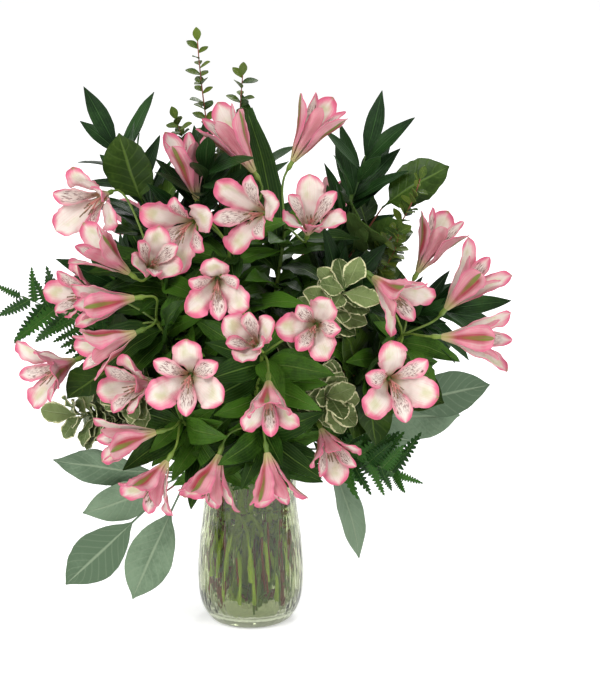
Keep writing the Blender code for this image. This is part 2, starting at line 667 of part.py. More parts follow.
def add_leaf(stem, shoot, share, wish, size, taken):
    """A leaf in the first pose that is clear of all that stands, or none where no pose is. Its root
    may touch its own stem and the leaves of its own band."""
    root, direction = along_arch(shoot.arch, share)
    band = f"{stem.name} band at {root.z / MM:.1f} mm"
    beside = [(tip - root).cross(direction) for other, _, tip in shoot.leaves if other == share]
    for along, part in leaf_poses(direction, wish):
        if any(along.cross(direction).angle(other) < LEAST_BETWEEN for other in beside):
            continue
        normal = upper_side(stem.kind, root, direction, along)
        pose = (stem.kind, root, along, normal, size * part, shoot.radius_at(share) * NECK_WIDTH)
        rings, tip = leaf_rings(*pose, LEAF_CLEARANCE)
        thick = shoot.radius_at(share) + LEAF_CLEARANCE
        whole = rings_tree(root, [cross_section(root, along, normal, thick, thick, 0), *rings], tip)
        outer = rings_tree(root.lerp(sum(rings[0], Vector()) / 4, CLEAR_OF_STEM), rings, tip)
        if any((outer if owner in (stem.name, band) else whole).overlap(tree) for owner, tree in taken):
            continue
        taken.append((band, whole))
        shoot.leaves.append((share, *leaf_rings(*pose)))
        return
    print(f"no clear place for a leaf, {band}")


# Joining


def join_stem(stem, material, collection):
    """One solid from a stem's shoots and pedicels."""
    meshes = [shoot.leafy_mesh(stem.name, STEM_SIDES) for shoot in stem.shoots] + stem.pedicels
    body = add_object(stem.name, meshes[0], material, collection)
    joined = make_collection(stem.name + "_pieces")
    for mesh in meshes[1:]:
        joined.objects.link(bpy.data.objects.new(stem.name + "_piece", mesh))
    if not joined.objects:
        bpy.data.collections.remove(joined)
        return
    union = body.modifiers.new("Join", "BOOLEAN")
    union.operation = "UNION"
    union.operand_type = "COLLECTION"
    union.collection = joined
    union.solver = "MANIFOLD"
    graph = bpy.context.evaluated_depsgraph_get()
    mesh = bpy.data.meshes.new_from_object(body.evaluated_get(graph))
    body.modifiers.clear()
    body.data = mesh
    for piece in list(joined.objects):
        bpy.data.objects.remove(piece)
    bpy.data.collections.remove(joined)


# The whole


def add_vase(collection):
    glass = make_material("glass", (0.86, 0.92, 0.88), 0.04, transmission=1.0)
    profile = [(0, VASE_FLOOR / MM), *VASE_INSIDE, *VASE_OUTSIDE, (0, 0)]
    return turned_object("vase", profile, glass, collection)


def add_water(collection, stems):
    """The water, with a plain hole for each stem."""
    clear = make_material("water", (0.84, 0.92, 0.88), 0.0, transmission=1.0)
    water = turned_object("water", water_profile(), clear, collection)
    cutters = make_collection("cutters")
    for stem in stems:
        start = stem.foot - (stem.mouth - stem.foot).normalized() * TOUCH_GAP
        radius = stem.radius / math.cos(math.pi / 6) + TOUCH_GAP
        hole = bpy.data.objects.new("hole_" + stem.name, tube_mesh("hole", [start, stem.mouth], [radius] * 2, 6))
        hole.hide_render = True
        hole.display_type = "WIRE"
        cutters.objects.link(hole)
    cut = water.modifiers.new("Stem holes", "BOOLEAN")
    cut.operation = "DIFFERENCE"
    cut.operand_type = "COLLECTION"
    cut.collection = cutters


def add_bloom(stem, bloom, material, collection, taken):
    """A bloom, and the pedicel that carries it."""
    name, base, facing, roll, openness, length = bloom
    mesh = bloom_mesh(name, openness, length)
    mesh.transform(bloom_matrix(base, facing, roll))
    add_object("bloom_" + name, mesh, material, collection)
    taken.append((None, mesh_tree(mesh)))
    head, direction = along_arch(stem.shoots[0].arch, 1)
    points, radii = pedicel_line(head, direction, vector(base), Vector(facing).normalized())
    stem.pedicels.append(tube_mesh(stem.name + "_pedicel", points, radii, 4))


def stand_stems(collection, taken):
    """All stems with their blooms and branches, still without leaves."""
    places = mouth_places()
    pink = make_material("bloom_pink", BLOOM_COLOUR, 0.55)
    stems = []
    for name, plan in ALSTROEMERIA.items():
        head = vector(plan["head"])
        stem = Stem(name, "alstroemeria", places[name], head, head - Vector((0, 0, HEAD_AIM_HEIGHT)))
        for bloom in plan["blooms"]:
            add_bloom(stem, bloom, pink, collection, taken)
        stems.append(stem)
    for name, plan in FOLIAGE.items():
        tip, aim, _ = plan["shoots"][0]
        stem = Stem(name, plan["kind"], places[name], vector(tip), Vector(aim))
        for share, (tip, aim, _) in zip(BRANCH_SHARES, plan["shoots"][1:]):
            stem.branch(share, vector(tip), Vector(aim))
        stems.append(stem)
    for stem in stems:
        tubes = [shoot.bare_mesh(stem.name, STEM_SIDES) for shoot in stem.shoots] + stem.pedicels
        taken += [(stem.name, mesh_tree(mesh)) for mesh in tubes]
    return stems


def grow_leaves(stem, taken):
    if stem.name in ALSTROEMERIA:
        plans = [ALSTROEMERIA[stem.name]["leaf_tips"]]
    else:
        plans = [leaves for _, _, leaves in FOLIAGE[stem.name]["shoots"]]
    for shoot, plan in zip(stem.shoots, plans):
        if isinstance(plan, int):
            wishes = shoot_leaves(stem.kind, shoot.arch, plan)
        else:
            wishes = leaves_to(stem.kind, shoot.arch, plan)
        for wish in wishes:
            add_leaf(stem, shoot, *wish, taken)
    if stem.name in ALSTROEMERIA:
        for wish in whorl_leaves(stem.kind, stem.shoots[0].arch):
            add_leaf(stem, stem.shoots[0], *wish, taken)


def main():
    clear_scene()
    collection = make_collection("alstroemeria_arrangement")
    vase = add_vase(collection)
    graph = bpy.context.evaluated_depsgraph_get()
    taken = [(None, mesh_tree(bpy.data.meshes.new_from_object(vase.evaluated_get(graph))))]
    stems = stand_stems(collection, taken)
    for stem in stems:
        grow_leaves(stem, taken)
    greens = {kind: make_material(kind + "_green", form["colour"], 0.5) for kind, form in LEAF_KINDS.items()}
    for stem in stems:
        join_stem(stem, greens[stem.kind], collection)
    add_water(collection, stems)


main()
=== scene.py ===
"""The looks of an alstroemeria arrangement: pink blooms and mixed foliage in a clear glass vase.

Lengths are metres, +Z is up and the front faces -Y. Blades are modelled flat, one unit long, and a
copy is laid along each tepal's or leaf's own line. Stems, blooms and leaves stand where the solids
have them: a leaf is made where its tip meets a corner of its solid. Smaller leaves fill the shoots
between these.
"""

import math
import random
from itertools import islice, product

import bmesh
import bpy
import numpy as np
from mathutils import Matrix, Quaternion, Vector, noise
from mathutils.bvhtree import BVHTree
from mathutils.kdtree import KDTree


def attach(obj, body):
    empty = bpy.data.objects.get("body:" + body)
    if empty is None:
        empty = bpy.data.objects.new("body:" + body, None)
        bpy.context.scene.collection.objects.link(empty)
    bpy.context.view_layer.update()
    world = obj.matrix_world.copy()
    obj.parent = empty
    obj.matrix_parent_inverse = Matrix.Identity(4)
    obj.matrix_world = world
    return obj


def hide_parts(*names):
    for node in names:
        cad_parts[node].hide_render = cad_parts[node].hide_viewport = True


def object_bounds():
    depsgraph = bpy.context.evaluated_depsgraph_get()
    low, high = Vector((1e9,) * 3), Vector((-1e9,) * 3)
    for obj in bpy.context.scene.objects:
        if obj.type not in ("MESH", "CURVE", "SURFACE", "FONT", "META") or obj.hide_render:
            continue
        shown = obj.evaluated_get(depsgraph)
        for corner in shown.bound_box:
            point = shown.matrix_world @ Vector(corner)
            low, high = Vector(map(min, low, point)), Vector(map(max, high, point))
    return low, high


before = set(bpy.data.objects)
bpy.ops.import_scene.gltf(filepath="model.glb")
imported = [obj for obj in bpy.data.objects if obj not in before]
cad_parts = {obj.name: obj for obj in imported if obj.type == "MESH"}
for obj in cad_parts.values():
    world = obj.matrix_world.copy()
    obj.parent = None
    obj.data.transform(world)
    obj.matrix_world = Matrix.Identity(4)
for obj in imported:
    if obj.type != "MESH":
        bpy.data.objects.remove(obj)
box = [list(corner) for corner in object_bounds()]

MM = 0.001

# Studio: the floor, the light from all round, and each light's name, place, diameter and power
FLOOR_SIZE = 60
FLOOR_GLOW = 0.40
WORLD_STRENGTH = 0.62
LIT_PLACE = (0, 0, 0.28)
LIGHTS = [
    ("key", (-1.1, -1.9, 1.9), 1.2, 42),
    ("fill", (1.8, -1.4, 0.9), 1.4, 12),
    ("rim", (0.5, 1.8, 1.6), 1.0, 22)]

# Camera, in the photograph's frame
CAMERA_TARGET = (0.043, 0, 0.240)
CAMERA_DISTANCE = 2.0
CAMERA_ELEVATION = math.radians(15)
PICTURE_HEIGHT = 700
METRES_PER_PIXEL = 0.00085
SENSOR = 36

# Vase and water, with profiles as (radius, height) in millimetres
VASE_HEIGHT = 138 * MM
VASE_SEGMENTS = 96
VASE_OUTSIDE = [
    (30.0, 0), (35.2, 1.6), (39.5, 7), (42.8, 14), (45.0, 24), (46.0, 37), (45.8, 50), (44.8, 65),
    (43.2, 80), (41.4, 94), (40.2, 106), (39.8, 116), (40.0, 126), (41.6, 138)]
VASE_INSIDE = [
    (39.4, 138), (37.5, 126), (37.2, 116), (37.6, 106), (38.8, 94), (40.6, 80), (42.2, 65),
    (43.0, 50), (43.2, 37), (42.4, 26), (38.0, 14), (34.0, 10), (28.0, 8)]
PROFILE_STEPS = 3
RIM_ROUNDING = 1.0 * MM
CLOSING_INSET = 0.5
VASE_SMOOTH_ANGLE = math.radians(40)
WATER_LEVEL = 106 * MM
WATER_OVERLAP = 0.15 * MM

# Stems in the vase
MOUTH_REACH = 30 * MM
MOUTH_SPACING = 9.4 * MM
MOUTH_WIDEST_ANGLE = math.radians(105)
MOUTH_ROUNDS = 200
FOOT_HEIGHT = 15 * MM
FOOT_SCALE = 0.8
SPIRAL = math.radians(-48)
ARCH_STEPS = 6
SMOOTH_STEPS = 20
STEM_TAPER = 0.4
ALSTROEMERIA_TAPER = 0.7
HEAD_AIM_HEIGHT = 82.8 * MM
ARCH_ARRIVAL = 0.8
BRANCH_SHARES = [0.34, 0.46]
BRANCH_SCALE = 0.62

# Blooms
CORE_RADIUS = 2.3 * MM
CORE_HEIGHT = 4.6 * MM
OVARY_RADIUS = 2.3 * MM
OVARY_LENGTH = 8 * MM
PEDICEL_RADIUS = 1.0 * MM
PEDICEL_RISE = 0.7
PEDICEL_STEPS = 10
# The ovary as (share of its length left to the tepals, share of its radius)
OVARY_SWELL = [(0.85, 0.62), (0.6, 0.95), (0.35, 1.0), (0.1, 0.85), (-0.3, 0.9), (-0.55, 0.6)]
TEPAL_THICKNESS = 0.5 * MM
TEPAL_CUP = 0.26
OUTER_HALF_WIDTH = 11.8 * MM
INNER_HALF_WIDTH = 7.6 * MM
OUTER_GRID = (26, 8)
INNER_GRID = (22, 6)
OUTER_OUTLINE = [
    (0, 0.15), (0.14, 0.22), (0.30, 0.44), (0.46, 0.80), (0.62, 1.02), (0.76, 1.06), (0.86, 0.94),
    (0.935, 0.70), (0.975, 0.34), (1, 0.04)]
INNER_OUTLINE = [
    (0, 0.20), (0.15, 0.26), (0.36, 0.50), (0.55, 0.84), (0.70, 1.02), (0.82, 0.98), (0.91, 0.74),
    (0.97, 0.40), (1, 0.04)]
FLARE_POWER = 2.0
FLARE_STEPS = 12
# For inner and outer tepals: degrees off the bloom's axis at the base and the tip while it is
# closed, and how far the margin waves
CLOSED_BASE = (9, 17)
CLOSED_TIP = (20, 26)
TEPAL_WAVE = (0.10, 0.16)
BASE_OPENING = 13
TIP_OPENING = 62
TIP_PLAY = 7
INNER_LENGTH = 0.95
LENGTH_RANGE = (0.96, 1.04)
WIDTH_RANGE = (0.94, 1.06)
WAVES_ALONG = 1.9
TEPAL_CRUMPLE = 0.22
STAMENS = 6
STAMEN_LENGTH = 0.66
STAMEN_RADIUS = 0.5 * MM
STAMEN_PLAY = 14
STAMEN_RANGE = (0.82, 1.05)
FILAMENT_SHARE = 0.8
FILAMENT_CUTS = 8
# The anther as (step along, share of the radius before)
ANTHER_SWELL = [(0.02, 2.6), (0.06, 1.25), (0.07, 0.9), (0.05, 0.4)]
LEAST_OPEN = 0.05

# Flat blades
TIP_CROWDING = 1.5
OUTLINE_STEPS = 6
LOBE_WIDTHS = [0.36, 0.86, 1.0, 0.74]

# Leaves
LEAF_THICKNESS = 0.55 * MM
LAST_ROOT = 0.96
TIP_ROOTS = [0.3 + 0.05 * i for i in range(12)]
CROWN_CENTRE = (-10, 0, 215)
BACK_FROM = 30 * MM
OUTWARD_SHARE = 0.8
FORWARD_SHARE = 0.2
TO_FRONT = (0, -0.6, 0.25)
TO_BACK = (0, 0.6, 0.25)
TURN_TRIES = [0, 20, -20, 40, -40, 60, -60, 85, -85]
PITCH_TRIES = [0, -16, 16, 30]
SIZE_TRIES = [1.0, 0.82]
MATCH = 0.3 * MM
SMOOTH_ANGLE = math.radians(50)

# Filling leaves, and how blades differ
GOLDEN_ANGLE = 137.5
GOLDEN_SHARE = 0.618
FILL_TRIES = 72
FILL_PITCHES = (-12, 20)
FILL_SIZES = (0.62, 0.95)
ROOM_SHARES = (0.35, 0.5, 0.65, 0.8, 1.0)
CELL = 1.2 * MM
STEPS_ROUND = (-1, 0, 1)
LOWEST_FILL = VASE_HEIGHT - 10 * MM
RUFFLE = 0.45
RUFFLE_PITCH = 2.7
SIDE_PHASE = 1.3
WAVE_RISE = 4
CRUMPLE_SCALES = (3.6, 13)
CRUMPLE_ACROSS = 1.8
RAGGED = 0.5

# Side shoots under water: the height that each leaves its stem at, then how far from the middle
# of the vase it ends, and how high. Other kinds than these have the foliage's.
SIDE_SHOOTS = {
    "foliage": [
        (30, (35, 96)), (92, (37, 18)), (80, (33, 13)), (100, (39, 34)), (18, (40, 66)), (20, (37, 84))],
    "alstroemeria": [(88, (37, 22)), (100, (39, 44))]}
SHOOT_STEPS = 10
SHOOT_PULL = (2.4, 2.4, 0.3)
SHOOT_REACHES = (0.9, 1)
SHOOT_FAN = 50
SHOOT_SCALE = 0.9
SHOOT_TAPER = 0.25

# Each kind of foliage. First come the numbers that place its leaves, as in the solids. Then come
# the grid of its leaf and how its margin waves and its face crumples; its filling leaves as (number
# on a shoot, first and last share of it) and the millimetres of room that each has round it; and
# the leaf's outline as (share of length, share of half width).
LEAF_KINDS = {
    "alstroemeria": dict(
        length=68, half_width=11, bend=42, cup=0.22, pitch=56, turn=90, start=0.93, taper=0, group=3,
        radius=2.2, rows=14, columns=4, wave=0.14, waves=2.2, crumple=0.22, fill=(40, 0.10, 0.99), room=1.4,
        outline=[(0, 0.14), (0.10, 0.30), (0.22, 0.76), (0.36, 1.0), (0.52, 0.97), (0.72, 0.72),
                 (0.88, 0.36), (1, 0.03)]),
    "ruscus": dict(
        length=66, half_width=9.5, bend=14, cup=0.18, pitch=36, turn=79, start=0.42, taper=0.15, group=2,
        radius=1.5, rows=10, columns=4, wave=0.03, waves=1.2, crumple=0.10, fill=(44, 0.10, 0.98), room=1.2,
        outline=[(0, 0.10), (0.10, 0.40), (0.24, 0.82), (0.38, 0.98), (0.52, 1.0), (0.70, 0.77),
                 (0.86, 0.40), (1, 0.02)]),
    "salal": dict(
        length=74, half_width=23, bend=26, cup=0.16, pitch=50, turn=150, start=0.35, taper=0.1, group=1,
        radius=1.6, rows=22, columns=6, wave=0.05, waves=3.5, crumple=0.10, fill=(14, 0.20, 0.95), room=1.6,
        outline=[(0, 0.05), (0.12, 0.06), (0.16, 0.34), (0.26, 0.74), (0.38, 0.94), (0.52, 1.02),
                 (0.66, 0.99), (0.80, 0.76), (0.90, 0.42), (0.96, 0.15), (1, 0.02)]),
    "eucalyptus": dict(
        length=116, half_width=20, bend=16, cup=0.08, pitch=40, turn=150, start=0.45, taper=0.1, group=1,
        radius=1.4, rows=24, columns=6, wave=0.04, waves=1.5, crumple=0.12, fill=(0, 0.4, 0.9), room=2.0,
        outline=[(0, 0.06), (0.30, 0.045), (0.34, 0.18), (0.42, 0.54), (0.52, 0.84), (0.62, 1.0),
                 (0.72, 1.0), (0.82, 0.80), (0.91, 0.46), (0.97, 0.14), (1, 0.02)]),
    "pittosporum": dict(
        length=35, half_width=10, bend=30, cup=0.14, pitch=54, turn=70, start=0.42, taper=0.1, group=2,
        radius=1.3, rows=12, columns=4, wave=0.22, waves=2.4, crumple=0.16, fill=(54, 0.26, 0.99), room=2.0,
        outline=[(0, 0.10), (0.12, 0.17), (0.26, 0.56), (0.44, 0.97), (0.62, 1.05), (0.80, 0.86),
                 (0.92, 0.50), (1, 0.06)]),
    "huckleberry": dict(
        length=15.5, half_width=4.6, bend=20, cup=0.15, pitch=52, turn=64, start=0.55, taper=0.25, group=2,
        radius=1.2, rows=6, columns=2, wave=0.0, waves=0, crumple=0.0, fill=(46, 0.42, 0.995), room=1.0,
        outline=[(0, 0.12), (0.12, 0.36), (0.30, 0.86), (0.50, 1.05), (0.70, 0.92), (0.88, 0.50),
                 (1, 0.08)]),
    "fern": dict(
        length=48, half_width=7.4, bend=16, cup=0.05, pitch=56, turn=0, start=0.46, taper=0.5, group=2,
        radius=1.1, rows=40, columns=2, wave=0.02, waves=4, crumple=0.04, fill=(24, 0.34, 0.99), room=0.8,
        flat=True, lobes=10,
        outline=[(0, 0.80), (0.06, 1.10), (0.16, 1.16), (0.34, 1.02), (0.52, 0.88), (0.72, 0.62),
                 (0.88, 0.38), (1, 0.06)]),
}

# Alstroemeria stems: the head; blooms as (name, base of the tepals, facing, roll, openness,
# length); and the tips of leaves
ALSTROEMERIA = {
    "stem_top_left": dict(
        head=(-16, -34, 338),
        blooms=[("02", (-42, -71, 367), (-0.35, -0.90, -0.05), 150, 0.85, 48),
                ("03", (16, -67, 372), (-0.45, -0.80, 0.20), 20, 0.75, 50),
                ("04", (-42, -25, 374), (-0.18, -0.15, 0.95), 60, 0.0, 58),
                ("05", (6, -25, 397), (-0.50, -0.20, 0.84), 35, 0.0, 62)],
        leaf_tips=[(0, -44, 453), (-34, -86, 318), (-74, -44, 356), (30, -84, 322)]),
    "stem_upper_left": dict(
        head=(-76, -40, 322),
        blooms=[("01", (-114, -38, 383), (-0.45, -0.85, -0.10), 100, 0.7, 50),
                ("22", (-94, -80, 325), (-0.68, -0.35, 0.62), 30, 0.1, 52),
                ("23", (-78, -92, 332), (0.20, -0.80, 0.45), 200, 0.3, 44)],
        leaf_tips=[(-88, -66, 362), (-118, -40, 330), (-100, 10, 380), (-60, -88, 290)]),
    "stem_left": dict(
        head=(-74, -55, 278),
        blooms=[("24", (-119, -51, 299), (-0.70, -0.62, 0.26), 70, 0.35, 46),
                ("25", (-88, -100, 310), (-0.92, -0.38, -0.05), 10, 0.0, 50),
                ("26", (-87, -108, 284), (-0.86, -0.42, -0.28), 60, 0.15, 52),
                ("27", (-144, -36, 241), (-0.70, -0.65, -0.15), 130, 0.6, 50)],
        leaf_tips=[(-70, -124, 330), (-48, -112, 300), (-130, -30, 262), (-128, 0, 310)]),
    "stem_lower_left": dict(
        head=(-54, -72, 199),
        blooms=[("20", (-44, -120, 252), (-0.06, -0.97, 0.15), 90, 0.8, 48),
                ("21", (-76, -105, 240), (-0.60, -0.72, 0.14), 200, 0.5, 44),
                ("28", (-72, -110, 201), (-0.90, -0.36, -0.10), 0, 0.1, 50),
                ("29", (-64, -108, 177), (-0.50, -0.50, -0.70), 70, 0.5, 46)],
        leaf_tips=[(-51, -104, 147), (-66, -84, 158), (-34, -110, 216), (-98, -60, 232)]),
    "stem_front": dict(
        head=(12, -86, 258),
        blooms=[("12", (-22, -122, 332), (0.0, -0.97, -0.10), 95, 0.6, 43),
                ("13", (56, -123, 294), (-0.10, -0.93, 0.16), 60, 0.5, 46),
                ("15", (10, -140, 280), (-0.22, -0.82, 0.48), 30, 0.35, 42),
                ("16", (18, -136, 252), (0.02, -0.75, -0.65), 215, 0.45, 44)],
        leaf_tips=[(-28, -130, 236), (44, -110, 240), (0, -118, 306), (54, -110, 268)]),
    "stem_low_front": dict(
        head=(12, -68, 192),
        blooms=[("17", (60, -86, 197), (0.30, -0.80, -0.50), 45, 0.3, 46),
                ("18", (-22, -105, 182), (-0.30, -0.42, -0.85), 80, 0.5, 48),
                ("19", (16, -115, 187), (0.16, -0.42, -0.88), 20, 0.35, 48)],
        leaf_tips=[(-20, -118, 172), (40, -112, 178), (-6, -120, 222), (48, -74, 150)]),
    "stem_top": dict(
        head=(30, -10, 346),
        blooms=[("06", (36, -5, 402), (0.48, -0.10, 0.85), 0, 0.05, 62),
                ("07", (49, -59, 353), (0.10, -0.70, 0.68), 90, 0.45, 50)],
        leaf_tips=[(17, -15, 471), (66, -40, 330), (60, 20, 410), (10, -74, 320)]),
    "stem_right": dict(
        head=(128, -36, 262),
        blooms=[("08", (141, -10, 309), (0.42, -0.20, 0.87), 20, 0.1, 58),
                ("09", (163, -40, 285), (0.56, -0.30, 0.76), 75, 0.1, 60),
                ("10", (157, -70, 270), (0.93, -0.35, 0.05), 45, 0.2, 58),
                ("11", (101, -74, 322), (0.62, -0.50, -0.40), 10, 0.4, 50),
                ("14", (115, -85, 239), (0.20, -0.95, 0.10), 100, 0.9, 48)],
        leaf_tips=[(127, -50, 300), (168, -20, 240), (100, -80, 206), (86, -84, 268), (180, 10, 270)]),
    "stem_back_left": dict(
        head=(-54, 56, 286),
        blooms=[("30", (-84, 92, 312), (-0.45, 0.80, 0.40), 40, 0.6, 50),
                ("31", (-56, 116, 268), (-0.15, 0.96, 0.05), 80, 0.75, 48),
                ("32", (-122, 66, 262), (-0.80, 0.55, -0.05), 120, 0.4, 50)],
        leaf_tips=[(-60, 110, 320), (-104, 86, 300), (-30, 112, 236), (-90, 88, 226), (-20, 90, 330)]),
    "stem_back_right": dict(
        head=(54, 62, 282),
        blooms=[("33", (62, 104, 322), (0.30, 0.82, 0.45), 15, 0.5, 52),
                ("34", (52, 122, 258), (0.12, 0.97, -0.05), 70, 0.8, 48)],
        leaf_tips=[(84, 100, 300), (20, 116, 290), (96, 76, 240), (30, 96, 220), (60, 60, 350)]),
}

# Foliage stems: the kind, and shoots as (tip, direction at the tip, number of leaves or their
# tips). The first shoot rises from the vase and the others branch off it.
FOLIAGE = {
    "ruscus_left": dict(kind="ruscus", shoots=[
        ((-112, 22, 412), (-0.45, 0, 0.9), 11), ((-112, -14, 300), (-0.7, -0.4, 0.5), 5),
        ((-34, -30, 404), (0.1, -0.4, 0.9), 5)]),
    "ruscus_right": dict(kind="ruscus", shoots=[
        ((98, 20, 404), (0.2, 0, 0.97), 11), ((166, -4, 276), (0.95, -0.1, 0.25), 5),
        ((76, -40, 300), (0.3, -0.7, 0.5), 5)]),
    "ruscus_back": dict(kind="ruscus", shoots=[
        ((0, 130, 374), (0, 0.6, 0.8), 8), ((-90, 112, 224), (-0.6, 0.7, 0.2), 5),
        ((104, 100, 214), (0.7, 0.6, 0.2), 5)]),
    "salal_left": dict(kind="salal", shoots=[
        ((-88, 2, 366), (-0.4, -0.2, 0.9), 5), ((-100, -34, 238), (-0.8, -0.5, 0.2), 3)]),
    "salal_right": dict(kind="salal", shoots=[
        ((112, 6, 362), (0.5, -0.2, 0.8), 5), ((104, -44, 226), (0.8, -0.5, 0.1), 3)]),
    "huckleberry_top": dict(kind="huckleberry", shoots=[
        ((-42, 20, 500), (-0.05, 0, 1), 15), ((-60, 10, 436), (-0.3, 0, 0.95), 5)]),
    "huckleberry_middle": dict(kind="huckleberry", shoots=[
        ((-5, 30, 470), (0.1, 0, 1), 13), ((-24, 20, 420), (-0.3, 0, 0.95), 5)]),
    "huckleberry_right": dict(kind="huckleberry", shoots=[
        ((142, -22, 392), (0.2, -0.1, 1), 13), ((124, -30, 350), (-0.1, -0.3, 0.95), 5)]),
    "pittosporum_front": dict(kind="pittosporum", shoots=[
        ((80, -88, 316), (0.3, -0.6, 0.7), 10), ((66, -86, 222), (0.3, -0.8, -0.1), 6)]),
    "pittosporum_left": dict(kind="pittosporum", shoots=[
        ((-146, -24, 190), (-0.95, -0.1, 0.1), 9), ((-98, -66, 222), (-0.6, -0.7, 0.2), 5)]),
    "fern_left": dict(kind="fern", shoots=[((-192, -12, 290), (-0.9, 0, 0.35), 13)]),
    "fern_right": dict(kind="fern", shoots=[((124, -50, 146), (0.9, -0.1, -0.4), 13)]),
    "eucalyptus_left": dict(kind="eucalyptus", shoots=[
        ((-84, -56, 122), (-0.9, -0.1, -0.5),
         [(-160, -52, 42), (-102, -72, 41), (-162, -34, 112), (-144, -60, 132), (-150, 20, 150)])]),
    "eucalyptus_right": dict(kind="eucalyptus", shoots=[
        ((132, 6, 192), (0.9, 0, 0.1),
         [(211, 20, 199), (186, 20, 172), (172, -10, 236), (108, -30, 68), (150, 50, 140)])]),
}


# Working with Blender's operators


def deselect():
    bpy.ops.object.select_all(action="DESELECT")


def work_on(obj):
    deselect()
    obj.select_set(True)
    bpy.context.view_layer.objects.active = obj


def select_points(obj, test):
    """In edit mode, selects the points that pass the test and nothing else."""
    bm = bmesh.from_edit_mesh(obj.data)
    for vert in bm.verts:
        vert.select_set(test(vert.co))
    bm.select_flush_mode()
    bmesh.update_edit_mesh(obj.data)


def apply_modifier(obj, name, kind, **settings):
    work_on(obj)
    modifier = obj.modifiers.new(name, kind)
    for setting, value in settings.items():
        setattr(modifier, setting, value)
    bpy.ops.object.modifier_apply(modifier=modifier.name)


def copy_of(template, name):
    """A copy with its own mesh."""
    mesh = template.data.copy()
    mesh.name = name
    copy = bpy.data.objects.new(name, mesh)
    bpy.context.scene.collection.objects.link(copy)
    return copy


def joined(parts, name):
    """The parts as one piece of this name."""
    work_on(parts[0])
    for part in parts:
        part.select_set(True)
    bpy.ops.object.join()
    piece = bpy.context.object
    piece.name = piece.data.name = name
    return piece


def smooth_piece(piece):
    work_on(piece)
    bpy.ops.object.shade_smooth_by_angle(angle=SMOOTH_ANGLE)


def vector(millimetres):
    return Vector(millimetres) * MM


# Materials


class Amount:
    """A socket in shader maths: an expression on amounts adds its Math nodes."""

    def __init__(self, surface, socket):
        self.surface = surface
        self.socket = socket

    def maths(self, operation, *operands):
        inputs = dict(enumerate(operands))
        return self.surface.node("Math", {"operation": operation}, inputs)

    def __add__(self, other):
        return self.maths("ADD", self, other)

    def __sub__(self, other):
        return self.maths("SUBTRACT", self, other)

    def __rsub__(self, other):
        return self.maths("SUBTRACT", other, self)

    def __mul__(self, other):
        return self.maths("MULTIPLY", self, other)

    def __abs__(self):
        return self.maths("ABSOLUTE", self)

    def __pow__(self, other):
        return self.maths("POWER", self, other)

    def cosine(self):
        return self.maths("COSINE", self)

    def between(self, low, high):
        """Rises smoothly from 0 at low to 1 at high."""
        settings = {"interpolation_type": "SMOOTHSTEP"}
        inputs = {"Value": self, "From Min": low, "From Max": high, "To Min": 0, "To Max": 1}
        return self.surface.node("MapRange", settings, inputs)

    __radd__ = __add__
    __rmul__ = __mul__


class Surface:
    """A material, with one method that adds any node to it."""

    def __init__(self, name, **inputs):
        self.material = bpy.data.materials.new(name)
        self.material.use_nodes = True
        self.tree = self.material.node_tree
        self.shader = self.tree.nodes["Principled BSDF"]
        for socket, value in inputs.items():
            self.shader.inputs[socket.replace("_", " ")].default_value = value

    def node(self, kind, settings, inputs, output=0):
        made = self.tree.nodes.new("ShaderNode" + kind)
        for setting, value in settings.items():
            setattr(made, setting, value)
        for socket, value in inputs.items():
            self.feed(made.inputs[socket], value)
        return Amount(self, made.outputs[output])

    def feed(self, socket, value):
        if isinstance(value, Amount):
            self.tree.links.new(value.socket, socket)
        else:
            socket.default_value = value

    def place(self):
        return self.node("TexCoord", {}, {}, "Object")

    def along_and_across(self):
        """The share of a blade's length, and the share of its half width, 0 at the midrib."""
        uv = self.node("TexCoord", {}, {}, "UV")
        share = self.node("SeparateXYZ", {}, {0: uv}, "X")
        side = self.node("SeparateXYZ", {}, {0: uv}, "Y") * 2 - 1
        return share, side

    def tone(self):
        """Each blade's own share of light, from 0 to 1."""
        return self.node("Attribute", {"attribute_name": "tone"}, {}, "Fac")

    def at(self, x, y, z=0.0):
        return self.node("CombineXYZ", {}, {0: x, 1: y, 2: z})

    def grain(self, where, scale, detail=2.0, roughness=0.5):
        inputs = {"Vector": where, "Scale": scale, "Detail": detail, "Roughness": roughness}
        return self.node("TexNoise", {}, inputs, "Fac")

    def blend(self, share, start, end):
        """A colour between two, each as three numbers or an amount."""
        colours = [c if isinstance(c, Amount) else (*c, 1) for c in (start, end)]
        settings = {"data_type": "RGBA"}
        return self.node("Mix", settings, {"Factor": share, 6: colours[0], 7: colours[1]}, 2)

    def bumps(self, height, strength, distance):
        inputs = {"Strength": strength, "Distance": distance, "Height": height}
        self.feed(self.shader.inputs["Normal"], self.node("Bump", {}, inputs))

    def colour(self, amount):
        self.feed(self.shader.inputs["Base Color"], amount)

    def roughness(self, amount):
        self.feed(self.shader.inputs["Roughness"], amount)


CREAM = (0.76, 0.69, 0.62)
BLUSH = (0.70, 0.385, 0.385)
PINK = (0.70, 0.135, 0.255)
DEEP_PINK = (0.50, 0.05, 0.10)
ROSE_BROWN = (0.37, 0.036, 0.055)
PETAL_GREEN = (0.44, 0.50, 0.16)
OLIVE = (0.20, 0.15, 0.03)
PALE_OLIVE = (0.40, 0.36, 0.14)
TIP_GREEN = (0.16, 0.22, 0.03)
FLECK = (0.13, 0.012, 0.02)
THROAT = (0.46, 0.23, 0.07)
FILAMENT = (0.72, 0.34, 0.30)
ANTHER = (0.20, 0.13, 0.06)
PETAL_SHINE = {"Specular_IOR_Level": 0.25, "Sheen_Weight": 0.08}
LEAF_SPECULAR = 0.14

